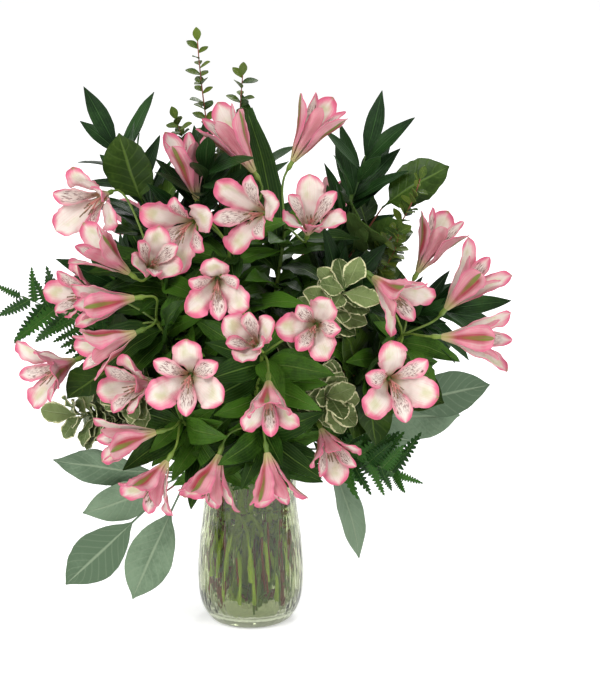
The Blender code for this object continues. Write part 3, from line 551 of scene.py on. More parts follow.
# The faces of each kind of leaf: the name, the number of veins and their slope, 0 where they run
# along the leaf. Then for its upper side and its underside come the dark, the light and the veins'
# colour, the roughness, and the colour of a pale margin where it has one.
LEAF_FACES = {
    "alstroemeria": ("alstroemeria_leaf", 9, 0, [
        ((0.014, 0.045, 0.005), (0.062, 0.165, 0.014), (0.12, 0.22, 0.04), 0.4),
        ((0.04, 0.10, 0.015), (0.10, 0.20, 0.035), (0.15, 0.25, 0.06), 0.5)]),
    "ruscus": ("ruscus_leaf", 7, 0, [
        ((0.006, 0.022, 0.005), (0.022, 0.066, 0.014), (0.045, 0.11, 0.03), 0.36),
        ((0.02, 0.06, 0.014), (0.045, 0.11, 0.03), (0.08, 0.15, 0.05), 0.45)]),
    "salal": ("salal_leaf", 8, 1.6, [
        ((0.016, 0.040, 0.004), (0.050, 0.100, 0.012), (0.10, 0.17, 0.03), 0.38),
        ((0.045, 0.095, 0.022), (0.09, 0.16, 0.04), (0.15, 0.22, 0.07), 0.5)]),
    "huckleberry": ("huckleberry_leaf", 6, 1.2, [
        ((0.022, 0.055, 0.008), (0.11, 0.16, 0.018), (0.14, 0.20, 0.04), 0.4),
        ((0.06, 0.10, 0.02), (0.13, 0.18, 0.04), (0.2, 0.26, 0.08), 0.5)]),
    "pittosporum": ("pittosporum_leaf", 7, 1.2, [
        ((0.065, 0.10, 0.028), (0.19, 0.25, 0.09), (0.26, 0.32, 0.14), 0.42, (0.66, 0.66, 0.38)),
        ((0.14, 0.18, 0.075), (0.24, 0.28, 0.13), (0.32, 0.36, 0.19), 0.5, (0.66, 0.66, 0.40))]),
    "fern": ("fern_pinna", 9, 0.6, [
        ((0.010, 0.045, 0.006), (0.032, 0.11, 0.014), (0.08, 0.16, 0.03), 0.4),
        ((0.03, 0.09, 0.02), (0.06, 0.14, 0.03), (0.12, 0.20, 0.06), 0.5)]),
    "eucalyptus": ("eucalyptus_leaf", 14, 2.2, [
        ((0.085, 0.135, 0.078), (0.17, 0.245, 0.155), (0.25, 0.32, 0.21), 0.5),
        ((0.14, 0.21, 0.14), (0.23, 0.31, 0.22), (0.31, 0.38, 0.27), 0.55)]),
}

CLEAR_GLASS = (0.61, 0.65, 0.46)
THICK_GLASS = (0.37, 0.41, 0.26)
GLASS_IOR = 1.45
WATER = (0.88, 0.91, 0.78)
WATER_IOR = 1.33
FLOOR_WHITE = (0.95, 0.95, 0.95)


def tepal_inside(name, flecks):
    """Cream with a pink margin and tip. With flecks it has a warm throat and dark dashes along it, as
    inner tepals have; without them it has a pale green blotch and a green point."""
    petal = Surface(name, **PETAL_SHINE)
    share, side = petal.along_and_across()
    across = abs(side)
    tone = petal.tone()
    blotch = petal.grain(petal.place(), 75, 3)
    streak = petal.grain(petal.at(share * 2.0, side * 26, tone * 9), 1.0, 3)
    tint = petal.blend(streak.between(0.45, 0.80) * 0.5, CREAM, BLUSH)
    tint = petal.blend(blotch.between(0.50, 0.80) * 0.4, tint, BLUSH)
    reach = across * 0.72 + share * 0.30 + share.between(0.80, 1.0) * 0.45
    reach = reach + blotch * 0.75 + tone * 0.24 - 0.06
    tint = petal.blend(reach.between(0.86, 1.36) * 0.55, tint, BLUSH)
    tint = petal.blend((reach + streak * 0.4).between(1.16, 1.74) * 0.94, tint, PINK)
    tint = petal.blend(reach.between(1.44, 1.70) * 0.35, tint, DEEP_PINK)
    if flecks:
        base = 1 - (share + across * 0.12).between(0.10, 0.52)
        tint = petal.blend(base * 0.9, tint, THROAT)
        dash = petal.grain(petal.at(share * 13, side * 25, tone * 7), 1.0, 0.0)
        band = share.between(0.14, 0.24) * (1 - share.between(0.78, 0.90))
        band = band * (1 - across.between(0.66, 0.86))
        tint = petal.blend(dash.between(0.57, 0.64) * band, tint, FLECK)
    else:
        patch = share.between(0.52, 0.70) * (1 - share.between(0.80, 0.94))
        patch = patch * (1 - across.between(0.15, 0.70))
        tint = petal.blend(patch * blotch.between(0.35, 0.65) * 0.5, tint, PETAL_GREEN)
        point = (share + blotch * 0.10).between(1.0, 1.06) * (1 - across.between(0.3, 0.8))
        tint = petal.blend(point * 0.8, tint, TIP_GREEN)
        base = 1 - share.between(0.06, 0.34)
        tint = petal.blend(base * 0.8, tint, PALE_OLIVE)
    petal.colour(tint)
    petal.roughness(0.45 + streak * 0.2)
    petal.bumps(streak + petal.grain(petal.place(), 700, 3) * 0.5, 0.5, 0.0007)
    return petal.material


def tepal_outside(name, stripe):
    """Pink with deeper streaks and a rose flush. On outer tepals stripe is 1: the flush is deeper
    and an olive stripe runs to the tip. On inner ones it is 0."""
    petal = Surface(name, **PETAL_SHINE)
    share, side = petal.along_and_across()
    across = abs(side)
    tone = petal.tone()
    blotch = petal.grain(petal.place(), 48, 3)
    streak = petal.grain(petal.at(share * 2.2, side * 24, tone * 9), 1.0, 3)
    tint = petal.blend((streak + tone * 0.15).between(0.25, 0.95), BLUSH, PINK)
    tint = petal.blend(blotch.between(0.45, 0.75) * 0.45, tint, CREAM)
    tint = petal.blend(across.between(0.70, 1.0) * 0.7, tint, PINK)
    lean = side + tone * 0.5 - 0.25
    flush = lean.between(-0.45, 0.0) * (1 - lean.between(0.25, 0.75)) * (1 - share.between(0.78, 1.0))
    tint = petal.blend(flush * (blotch + streak) * (0.3 + 0.65 * stripe), tint, ROSE_BROWN)
    line = (1 - (across - share * 0.14).between(0.0, 0.16)) * share.between(0.25, 0.60)
    green = petal.blend(share.between(0.55, 0.85), OLIVE, TIP_GREEN)
    tint = petal.blend(line * stripe * streak.between(0.2, 0.5), tint, green)
    base = 1 - share.between(0.04, 0.34)
    tint = petal.blend(base * (0.55 + streak * 0.4), tint, PETAL_GREEN)
    petal.colour(tint)
    petal.roughness(0.45 + streak * 0.2)
    petal.bumps(streak, 0.5, 0.0007)
    return petal.material


def leaf_face(name, veins, slope, dark, light, vein, gloss, margin=None):
    """A leaf's face: colour that varies over it, a midrib, and side veins or parallel ones."""
    leaf = Surface(name, Specular_IOR_Level=LEAF_SPECULAR)
    share, side = leaf.along_and_across()
    across = abs(side)
    cloud = leaf.grain(leaf.place(), 42, 3)
    fine = leaf.grain(leaf.place(), 420, 3)
    tint = leaf.blend((cloud + fine * 0.4 + leaf.tone() * 0.6 - 0.5).between(0.2, 0.8), dark, light)
    if slope:
        phase = (share * veins - across * slope) * math.tau
        ribs = ((phase.cosine() + 1) * 0.5) ** 14 * (1 - across.between(0.86, 0.98))
    else:
        ribs = ((side * veins * math.pi).cosine() * 0.5 + 0.5) ** 6
    midrib = 1 - across.between(0.02, 0.09)
    tint = leaf.blend(ribs * 0.2, tint, vein)
    tint = leaf.blend(midrib * 0.75, tint, vein)
    if margin:
        edge = (across + share.between(0.8, 1.0) * 0.1 + (cloud + fine) * 0.35).between(1.18, 1.25)
        tint = leaf.blend(edge * (cloud + fine).between(0.6, 1.1), tint, margin)
    leaf.colour(tint)
    leaf.roughness(fine * 0.2 + (gloss - 0.1))
    leaf.bumps(fine * 0.4 - ribs * 0.3 - midrib, 0.6, 0.0008)
    return leaf.material


def stem_skin(name, stripes, low, high, pale):
    """A stem's skin: long streaks, a slow change of colour and painted light, paler down in the vase."""
    skin = Surface(name)
    place = skin.place()
    cloud = skin.grain(place, 30, 3)
    stretch = skin.node("Mapping", {}, {"Vector": place, "Scale": (stripes, stripes, 40)})
    streak = skin.grain(stretch, 1.0, 4)
    tint = skin.blend(cloud.between(0.35, 0.65), low, high)
    tint = skin.blend(streak.between(0.5, 0.8) * 0.5, tint, low)
    height = skin.node("SeparateXYZ", {}, {0: place}, "Z")
    # Painted light: paler down in the vase, for the light that reaches the stems through glass and water.
    tint = skin.blend((1 - height.between(0.09, 0.14)) * (0.5 + cloud), tint, pale)
    skin.colour(tint)
    skin.roughness(0.35 + streak * 0.3)
    skin.bumps(streak, 0.4, 0.0008)
    return skin.material


def stamen_skin():
    """From the filament's colour at the base to its anther's at the end, which is grainy."""
    skin = Surface("stamens", Roughness=0.6)
    share, _ = skin.along_and_across()
    speck = skin.grain(skin.place(), 1800, 2)
    anther = share.between(0.80, 0.84)
    tint = skin.blend(anther, FILAMENT, ANTHER)
    skin.colour(skin.blend(speck.between(0.5, 0.7) * anther * 0.6, tint, CREAM))
    skin.bumps(speck * anther, 0.6, 0.0005)
    return skin.material


def glass_material():
    """Grey-green glass with long ripples, darker at its thick base."""
    glass = Surface("vase_glass", IOR=GLASS_IOR, Transmission_Weight=1.0)
    place = glass.place()
    height = glass.node("SeparateXYZ", {}, {0: place}, "Z")
    glass.colour(glass.blend(height.between(0.002, 0.040), THICK_GLASS, CLEAR_GLASS))
    ripple = glass.node("Mapping", {}, {"Vector": place, "Scale": (1, 1, 0.16)})
    waves = glass.grain(ripple, 270, 1)
    glass.roughness(glass.grain(place, 90, 2) * 0.03)
    glass.bumps(waves, 0.45, 0.0014)
    return glass.material


def water_material():
    water = Surface("water", Base_Color=(*WATER, 1), IOR=WATER_IOR, Transmission_Weight=1.0)
    still = water.grain(water.place(), 60, 1)
    water.roughness(still * 0.01)
    water.bumps(still, 0.05, 0.0005)
    return water.material


def floor_material():
    glow = {"Emission_Color": (1, 1, 1, 1), "Emission_Strength": FLOOR_GLOW}
    floor = Surface("pale_floor", Base_Color=(*FLOOR_WHITE, 1), **glow)
    floor.roughness(0.7 + floor.grain(floor.place(), 20, 2) * 0.2)
    return floor.material


# Flat blades, one unit long


def smooth_points(points, steps):
    """More points on a smooth line through these."""
    points = [Vector(point) for point in points]
    smooth = []
    for i in range(len(points) - 1):
        before, after = points[max(i - 1, 0)], points[min(i + 2, len(points) - 1)]
        a, b = points[i], points[i + 1]
        for step in range(steps):
            smooth.append(hermite(a, (b - before) / 2, b, (after - a) / 2, step / steps))
    return [tuple(point) for point in [*smooth, points[-1]]]


def outline_at(outline, share):
    return float(np.interp(share, *zip(*outline)))


def shape_rows(blade, outline, lobes=0):
    """In edit mode, slides the rows of points closer together towards the tip, and draws each in
    or out to the outline, its cup with it. The rows of a lobed blade stay even, four to a lobe."""
    points = bmesh.from_edit_mesh(blade.data).verts
    stations = sorted({round(vert.co.x, 5) for vert in points}, reverse=True)
    for i, station in enumerate(stations):
        select_points(blade, lambda co: abs(co.x - station) < 0.00002)
        share = station if lobes else 1 - (1 - station) ** TIP_CROWDING
        width = outline_at(outline, share) * (LOBE_WIDTHS[-i % 4] if lobes else 1)
        bpy.ops.transform.translate(value=(share - station, 0, 0))
        bpy.ops.transform.resize(value=(1, width, width), center_override=(share, 0, 0))


def flat_blade(name, rows, columns, outline, cup, faces, lobes=0):
    """A blade along X whose edges are cupped up, with the materials of its two faces."""
    deselect()
    bpy.ops.mesh.primitive_grid_add(x_subdivisions=rows, y_subdivisions=columns, size=2)
    blade = bpy.context.object
    blade.name = name
    bpy.ops.object.mode_set(mode="EDIT")
    bpy.ops.transform.resize(value=(0.5, 1, 1))
    bpy.ops.transform.translate(value=(0.5, 0, 0))
    for column in range(1, columns // 2 + 1):
        side = 2 * column / columns
        select_points(blade, lambda co: abs(abs(co.y) - side) < 0.0001)
        bpy.ops.transform.translate(value=(0, 0, cup * side * side))
    shape_rows(blade, smooth_points(outline, OUTLINE_STEPS), lobes)
    if lobes:
        select_points(blade, lambda co: abs(co.y) > 0.3)
        bpy.ops.transform.translate(value=(0.35 / lobes, 0, 0))
    bpy.ops.object.mode_set(mode="OBJECT")
    uv = blade.data.uv_layers.active.data
    for loop in blade.data.loops:
        uv[loop.index].uv.x = blade.data.vertices[loop.vertex_index].co.x
    for face in faces:
        blade.data.materials.append(face)
    blade.data.attributes.new("tone", "FLOAT", "POINT")
    bpy.ops.object.shade_smooth()
    return blade


def give_tone(blade, tone):
    tones = [tone] * len(blade.data.vertices)
    blade.data.attributes["tone"].data.foreach_set("value", tones)


def margin_swing(share, side, waves, phase):
    """How a waved margin swings, with finer ruffles at its very edge."""
    phase += SIDE_PHASE if side > 0 else 0
    ruffle = math.sin(math.tau * waves * RUFFLE_PITCH * share + 2 * phase)
    return math.sin(math.tau * waves * share + phase) * side * side + ruffle * RUFFLE * side**4


def lay(blade, line, half_width, wave=0.0, waves=0.0, phase=0.0, crumple=0.0):
    """Lays a flat blade along a line that gives the place, direction and upper side at each share.
    Its margin waves, and its crumple makes its face uneven and its margin ragged."""
    rows = {}
    for vert in blade.data.vertices:
        share, side, rise = vert.co
        key = round(share, 4)
        if key not in rows:
            rows[key] = line(min(1.0, max(0.0, share)))
        middle, along, normal = rows[key]
        swing = wave * margin_swing(share, side, waves, phase)
        spots = [Vector((share * scale, side * CRUMPLE_ACROSS, phase)) for scale in CRUMPLE_SCALES]
        dent, notch = map(noise.noise, spots)
        lift = (rise + (swing + crumple * dent) * min(1, share * WAVE_RISE)) * half_width
        reach = side * (1 + RAGGED * crumple * notch * side * side) * half_width
        vert.co = middle + normal.cross(along) * reach + normal * lift


# Blooms


def bloom_matrix(base, facing, roll):
    """Local +Z is the way the bloom faces."""
    turn = Vector(facing).normalized().to_track_quat("Z", "Y").to_matrix().to_4x4()
    return Matrix.Translation(vector(base)) @ turn @ Matrix.Rotation(math.radians(roll), 4, "Z")


def tepal_line(azimuth, start_angle, end_angle, length, share):
    """Point, direction and inner normal of a tepal at a share of its length; it flares to its tip."""
    outward = Vector((math.cos(azimuth), math.sin(azimuth), 0))
    place = outward * CORE_RADIUS + Vector((0, 0, CORE_HEIGHT / 2))
    for i in range(FLARE_STEPS):
        at = share * (i + 0.5) / FLARE_STEPS
        angle = start_angle + (end_angle - start_angle) * at**FLARE_POWER
        ahead = outward * math.sin(angle) + Vector((0, 0, math.cos(angle)))
        place = place + ahead * length * share / FLARE_STEPS
    angle = start_angle + (end_angle - start_angle) * share**FLARE_POWER
    along = outward * math.sin(angle) + Vector((0, 0, math.cos(angle)))
    normal = Vector((0, 0, math.sin(angle))) - outward * math.cos(angle)
    return place, along, normal


def bloom_tepals(name, openness, length):
    """The six tepals of a bloom: azimuth, start angle, end angle, length, outer or not, width."""
    draw = random.Random("bloom " + name)
    tepals = []
    for k in range(6):
        outer = k % 2 == 0
        start = math.radians(CLOSED_BASE[outer] + BASE_OPENING * openness)
        end = math.radians(CLOSED_TIP[outer] + TIP_OPENING * openness + draw.uniform(-TIP_PLAY, TIP_PLAY))
        size = length * MM * (1 if outer else INNER_LENGTH) * draw.uniform(*LENGTH_RANGE)
        width = (0.78 + 0.22 * openness) * draw.uniform(*WIDTH_RANGE)
        tepals.append((math.radians(60 * k), start, end, size, outer, width))
    return tepals


def stamen_template(skin):
    """A stamen one unit long along X: a thin filament that swells into its anther."""
    deselect()
    bpy.ops.mesh.primitive_cylinder_add(
        vertices=6, radius=1, depth=FILAMENT_SHARE, location=(FILAMENT_SHARE / 2, 0, 0),
        rotation=(0, math.pi / 2, 0), end_fill_type="NGON")
    stamen = bpy.context.object
    stamen.name = "stamen_template"
    bpy.ops.object.transform_apply(location=True, rotation=True)
    bpy.ops.object.mode_set(mode="EDIT")
    for cut in range(1, FILAMENT_CUTS):
        bpy.ops.mesh.select_all(action="SELECT")
        bpy.ops.mesh.bisect(plane_co=(cut / 10, 0, 0), plane_no=(1, 0, 0))
    for step, swell in ANTHER_SWELL:
        bpy.ops.mesh.select_all(action="DESELECT")
        bm = bmesh.from_edit_mesh(stamen.data)
        far = max(vert.co.x for vert in bm.verts)
        select_points(stamen, lambda co: co.x > far - 0.0001)
        bpy.ops.mesh.extrude_region_move(TRANSFORM_OT_translate={"value": (step, 0, 0)})
        bpy.ops.transform.resize(value=(1, swell, swell), center_override=(far + step, 0, 0))
    bpy.ops.mesh.select_all(action="SELECT")
    bpy.ops.mesh.normals_make_consistent(inside=False)
    bpy.ops.object.mode_set(mode="OBJECT")
    uv = stamen.data.uv_layers.active.data
    for loop in stamen.data.loops:
        uv[loop.index].uv = (stamen.data.vertices[loop.vertex_index].co.x, 0.5)
    stamen.data.materials.append(skin)
    bpy.ops.object.shade_smooth()
    return stamen


def lay_stamen(stamen, aim, sag, length):
    """Bends a stamen from the bloom's throat towards its aim, and then on towards its sag."""
    for vert in stamen.data.vertices:
        share, side, rise = vert.co
        start = Vector((0, 0, CORE_HEIGHT * 0.7))
        along = (Vector((0, 0, 1)).lerp(aim, share) + sag * share).normalized()
        middle = start + (Vector((0, 0, 1)) * share + (aim - Vector((0, 0, 1))) * share * share / 2
                          + sag * share * share / 2) * length
        right = along.cross(Vector((0.3, 0.9, 0.1))).normalized()
        vert.co = middle + (right * side + along.cross(right) * rise) * STAMEN_RADIUS


def add_stamens(template, name, openness, length, place):
    """Six stamens and a style, which arch down out of an open bloom."""
    draw = random.Random("stamens " + name)
    down = place.to_3x3().inverted() @ Vector((0, 0, -1))
    reach = length * MM * STAMEN_LENGTH
    parts = []
    for i in range(STAMENS + 1):
        azimuth = math.radians(360 / STAMENS * i + draw.uniform(-STAMEN_PLAY, STAMEN_PLAY))
        spread = 0 if i == STAMENS else 0.22 + 0.12 * openness
        aim = Vector((math.cos(azimuth) * spread, math.sin(azimuth) * spread, 1))
        stamen = copy_of(template, "stamen")
        sag = down * (0.16 + 0.3 * openness)
        lay_stamen(stamen, aim, sag, reach * draw.uniform(*STAMEN_RANGE))
        stamen.data.transform(place)
        parts.append(stamen)
    return parts


def dressed_bloom(templates, bloom):
    name, base, facing, roll, openness, length = bloom
    place = bloom_matrix(base, facing, roll)
    draw = random.Random("waves " + name)
    tepals = []
    for azimuth, start, end, size, outer, width in bloom_tepals(name, openness, length):
        tepal = copy_of(templates["outer" if outer else "inner"], "tepal")

        def line(share):
            return tepal_line(azimuth, start, end, size, share)

        half_width = (OUTER_HALF_WIDTH if outer else INNER_HALF_WIDTH) * width
        wave = TEPAL_WAVE[outer] * (0.4 + openness)
        lay(tepal, line, half_width, wave, WAVES_ALONG, draw.uniform(0, math.tau), TEPAL_CRUMPLE)
        give_tone(tepal, draw.random())
        tepal.data.transform(place)
        tepals.append(tepal)
    tepals = tepals[0::2] + tepals[1::2]
    piece = joined(tepals, "bloom_" + name + "_petals")
    apply_modifier(piece, "Thickness", "SOLIDIFY", thickness=TEPAL_THICKNESS, offset=0, material_offset=1)
    if openness > LEAST_OPEN:
        stamens = add_stamens(templates["stamen"], name, openness, length, place)
        piece = joined([piece, *stamens], piece.name)
    smooth_piece(piece)
    finish_piece(piece, "bloom_" + name)


# Stems


def hermite(start, start_pull, end, end_pull, t):
    a, b = 2 * t**3 - 3 * t**2 + 1, t**3 - 2 * t**2 + t
    c, d = -2 * t**3 + 3 * t**2, t**3 - t**2
    return start * a + start_pull * b + end * c + end_pull * d


def arched(start, start_direction, end, end_direction, steps=ARCH_STEPS):
    """The points of a shoot that leaves and arrives in these directions."""
    span = (end - start).length
    pulls = start_direction.normalized() * span, end_direction.normalized() * span * ARCH_ARRIVAL
    return [hermite(start, pulls[0], end, pulls[1], i / steps) for i in range(steps + 1)]


def along_arch(arch, share):
    """Point and direction at a share of an arch's length."""
    lengths = [(b - a).length for a, b in zip(arch, arch[1:])]
    left = share * sum(lengths)
    for a, b, length in zip(arch, arch[1:], lengths):
        if left <= length or b is arch[-1]:
            return a.lerp(b, min(1, left / length)), (b - a).normalized()
        left -= length


def mouth_places():
    """Where each stem passes the mouth: towards its head, then pushed apart to the spacing."""
    heads = {name: vector(stem["head"]) for name, stem in ALSTROEMERIA.items()}
    heads.update({name: vector(stem["shoots"][0][0]) for name, stem in FOLIAGE.items()})
    places = {}
    for name, head in heads.items():
        rise = head - Vector((0, 0, VASE_HEIGHT))
        tilt = math.atan2(math.hypot(rise.x, rise.y), rise.z)
        reach = MOUTH_REACH * min(1, tilt / MOUTH_WIDEST_ANGLE)
        places[name] = Vector((rise.x, rise.y)).normalized() * reach
    names = list(places)
    for _ in range(MOUTH_ROUNDS):
        for i, one in enumerate(names):
            for other in names[i + 1:]:
                apart = places[one] - places[other]
                if apart.length < MOUTH_SPACING:
                    push = apart.normalized() * (MOUTH_SPACING - apart.length) / 2
                    places[one] += push
                    places[other] -= push
        for name in names:
            if places[name].length > MOUTH_REACH:
                places[name] = places[name].normalized() * MOUTH_REACH
    return places


def foot_under(mouth):
    """The foot stands turned round from the mouth, as stems lean against one another in a vase."""
    turned = Quaternion((0, 0, 1), SPIRAL) @ mouth * FOOT_SCALE
    return Vector((turned.x, turned.y, FOOT_HEIGHT))


def tube(name, points, radii, skin, sides=8):
    """A round tube along points, as a mesh."""
    curve = bpy.data.curves.new(name, "CURVE")
    curve.dimensions = "3D"
    curve.bevel_depth = 1.0
    curve.bevel_resolution = sides // 2 - 2
    curve.use_fill_caps = True
    spline = curve.splines.new("POLY")
    spline.points.add(len(points) - 1)
    for point, place, radius in zip(spline.points, points, radii):
        point.co = (*place, 1)
        point.radius = radius
    spline.use_smooth = True
    curve.materials.append(skin)
    drawn = bpy.data.objects.new(name, curve)
    bpy.context.scene.collection.objects.link(drawn)
    work_on(drawn)
    bpy.ops.object.convert(target="MESH")
    return bpy.context.object


class Shoot:
    """The arch that the solid's leaves stand on, and a smooth one through the same ends."""

    def __init__(self, start, pull, end, aim, radius, taper, lead=()):
        self.arch = arched(start, pull, end, aim)
        self.smooth = arched(start, pull, end, aim, SMOOTH_STEPS)
        self.radius = radius
        self.taper = taper
        self.lead = list(lead)
        self.leaves = []

    def dressed(self, skin):
        radii = [self.radius] * len(self.lead)
        radii += [self.radius * (1 + (self.taper - 1) * i / SMOOTH_STEPS) for i in range(SMOOTH_STEPS + 1)]
        return tube("shoot", self.lead + self.smooth, radii, skin)

    def slip(self, root):
        """From a leaf's root on the solid's arch to the nearest place on the smooth one."""
        nearest = min(zip(self.smooth, self.smooth[1:]), key=lambda ends: self.gap(root, *ends))
        return self.foot_on(root, *nearest) - root

    def foot_on(self, root, a, b):
        share = max(0, min(1, (root - a).dot(b - a) / (b - a).length_squared))
        return a.lerp(b, share)

    def gap(self, root, a, b):
        return (self.foot_on(root, a, b) - root).length


class Stem:
    """A stem that rises through the vase, with the shoots that branch off it."""

    def __init__(self, name, kind, mouth_xy, head, aim):
        self.name = name
        self.kind = kind
        self.radius = LEAF_KINDS[kind]["radius"] * MM
        self.taper = ALSTROEMERIA_TAPER if kind == "alstroemeria" else STEM_TAPER
        mouth = Vector((*mouth_xy, VASE_HEIGHT))
        foot = foot_under(mouth)
        self.shoots = [Shoot(mouth, mouth - foot, head, aim, self.radius, self.taper, [foot])]
        self.pedicels = []

    def branch(self, share, tip, aim):
        start, direction = along_arch(self.shoots[0].arch, share)
        pull = direction + (tip - start).normalized()
        self.shoots.append(Shoot(start, pull, tip, aim, self.radius * BRANCH_SCALE, self.taper))


def pedicel(head, head_direction, base, facing, skin):
    """From the head of the stem to a bloom's underside, with the ovary's swelling at its end."""
    root = base - facing * OVARY_LENGTH
    span = (root - head).length
    leaving = (head_direction * PEDICEL_RISE + (root - head).normalized()).normalized()
    shares = [i / PEDICEL_STEPS for i in range(PEDICEL_STEPS + 1)]
    points = [hermite(head, leaving * span, root, facing * span, share) for share in shares]
    radii = [PEDICEL_RADIUS] * len(points)
    for along, swell in OVARY_SWELL:
        points.append(base - facing * OVARY_LENGTH * along)
        radii.append(OVARY_RADIUS * swell)
    return tube("pedicel", points, radii, skin)


def stand_stems():
    """All stems and their branches, still bare."""
    places = mouth_places()
    stems = []
    for name, plan in ALSTROEMERIA.items():
        head = vector(plan["head"])
        aim = head - Vector((0, 0, HEAD_AIM_HEIGHT))
        stems.append(Stem(name, "alstroemeria", places[name], head, aim))
    for name, plan in FOLIAGE.items():
        tip, aim, _ = plan["shoots"][0]
        stem = Stem(name, plan["kind"], places[name], vector(tip), Vector(aim))
        for share, (tip, aim, _) in zip(BRANCH_SHARES, plan["shoots"][1:]):
            stem.branch(share, vector(tip), Vector(aim))
        stems.append(stem)
    return stems


# Leaves


def leaf_line(root, along, normal, length, bend, share):
    """A leaf's middle line is an arc that bends away from its upper side."""
    angle = bend * share
    reach = math.sin(angle) / bend
    drop = (1 - math.cos(angle)) / bend
    place = root + (along * reach - normal * drop) * length
    return (place, along * math.cos(angle) - normal * math.sin(angle),
            normal * math.cos(angle) + along * math.sin(angle))


def level_side(direction):
    """A level direction square to this one."""
    other = Vector((0, 0, 1)) if abs(direction.z) < 0.97 else Vector((0, 1, 0))
    return direction.cross(other).normalized()


def upper_side(kind, root, direction, along):
    """Leaves turn their upper side out of the crown and up; a frond lies in one upright plane."""
    if LEAF_KINDS[kind].get("flat"):
        face = level_side(direction)
        face = face if face.y < 0 else -face
    else:
        outward = (root - vector(CROWN_CENTRE)).normalized()
        viewed = Vector(TO_FRONT if root.y < BACK_FROM else TO_BACK)
        face = outward * OUTWARD_SHARE + direction * FORWARD_SHARE + viewed
    return (face - along * face.dot(along)).normalized()


def shoot_leaves(kind, arch, count):
    """Share, wished direction and size of each leaf, in groups round the shoot. The last is its end."""
    form = LEAF_KINDS[kind]
    group = form["group"]
    groups = (count - 1) // group
    pitch = math.radians(form["pitch"])
    for i in range(count - 1):
        share = form["start"] + (LAST_ROOT - form["start"]) * (i // group) / groups
        _, direction = along_arch(arch, share)
        turn = form["turn"] * (i // group) + 360 / max(group, 2) * (i % group)
        hinge = Quaternion(direction, math.radians(turn)) @ level_side(direction)
        yield share, Quaternion(hinge, pitch) @ direction, 1 - form["taper"] * i / count
    yield 1, along_arch(arch, 1)[1], 1 - form["taper"]


def whorl_leaves(kind, arch):
    """The same for the ring of leaves close under an alstroemeria's blooms."""
    form = LEAF_KINDS[kind]
    share = form["start"]
    _, direction = along_arch(arch, share)
    for i in range(form["group"]):
        hinge = Quaternion(direction, math.radians(form["turn"] * (i + 0.5))) @ level_side(direction)
        yield share, Quaternion(hinge, math.radians(form["pitch"])) @ direction, 1


def leaves_to(kind, arch, tips):
    """The same for leaves that reach to given tips. Each has its own root, at the place along the
    stem that is nearest to a full leaf's length from its tip."""
    length = LEAF_KINDS[kind]["length"] * MM
    roots = {share: along_arch(arch, share)[0] for share in TIP_ROOTS}
    for tip in map(vector, tips):
        share = min(roots, key=lambda share: abs((tip - roots[share]).length - length))
        reach = tip - roots.pop(share)
        yield share, reach.normalized(), reach.length / length


def filling_leaves(kind, arch, seed):
    """The same for leaves that fill the shoot between the solid's."""
    form = LEAF_KINDS[kind]
    count, low, high = form["fill"]
    draw = random.Random(seed)
    for i in range(count):
        share = low + (high - low) * (i + draw.random()) / count
        _, direction = along_arch(arch, share)
        turn = 180 * (i % 2) if form.get("flat") else GOLDEN_ANGLE * i
        hinge = Quaternion(direction, math.radians(turn)) @ level_side(direction)
        pitch = math.radians(form["pitch"] + draw.uniform(*FILL_PITCHES))
        yield share, Quaternion(hinge, pitch) @ direction, draw.uniform(*FILL_SIZES)


def leaf_poses(direction, wish):
    """The directions and sizes that a leaf tries, in order, round its stem and then off it."""
    aside = direction.dot(wish) < 0.999
    hinge = direction.cross(wish).normalized() if aside else level_side(direction)
    for size in SIZE_TRIES:
        for lean in PITCH_TRIES:
            for turn in TURN_TRIES:
                about = Quaternion(direction, math.radians(turn))
                yield about @ Quaternion(hinge, math.radians(lean)) @ wish, size


def corners_of(node):
    """The corners of a solid, to look for a leaf's tip among."""
    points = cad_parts[node].data.vertices
    tree = KDTree(len(points))
    for vert in points:
        tree.insert(vert.co, vert.index)
    tree.balance()
    return tree


def posed(stem, shoot, share, along, size):
    """A leaf's line: root, direction, upper side and length."""
    root, direction = along_arch(shoot.arch, share)
    normal = upper_side(stem.kind, root, direction, along)
    return root, along, normal, LEAF_KINDS[stem.kind]["length"] * MM * size


def solid_leaves(stem, corners):
    """The leaves that the solid has: each wish's first pose whose tip is one of its corners."""
    if stem.name in ALSTROEMERIA:
        plans = [ALSTROEMERIA[stem.name]["leaf_tips"]]
    else:
        plans = [leaves for _, _, leaves in FOLIAGE[stem.name]["shoots"]]
    bend = math.radians(LEAF_KINDS[stem.kind]["bend"])
    for shoot, plan in zip(stem.shoots, plans):
        if isinstance(plan, int):
            wishes = list(shoot_leaves(stem.kind, shoot.arch, plan))
        else:
            wishes = list(leaves_to(stem.kind, shoot.arch, plan))
        if stem.name in ALSTROEMERIA:
            wishes += whorl_leaves(stem.kind, shoot.arch)
        for share, wish, size in wishes:
            _, direction = along_arch(shoot.arch, share)
            for along, part in leaf_poses(direction, wish):
                pose = posed(stem, shoot, share, along, size * part)
                if corners.find(leaf_line(*pose, bend, 1.0)[0])[2] < MATCH:
                    shoot.leaves.append((pose, min(size * part, 1)))
                    break


def blade_points(kind, pose, size):
    """Points over a leaf, to keep it clear of what is there."""
    form = LEAF_KINDS[kind]
    points = []
    for share in ROOM_SHARES:
        middle, along, normal = leaf_line(*pose, math.radians(form["bend"]), share)
        half = form["half_width"] * MM * size * outline_at(form["outline"], share)
        points += [middle + along.cross(normal) * half * side for side in (-1, 0, 1)]
    return points


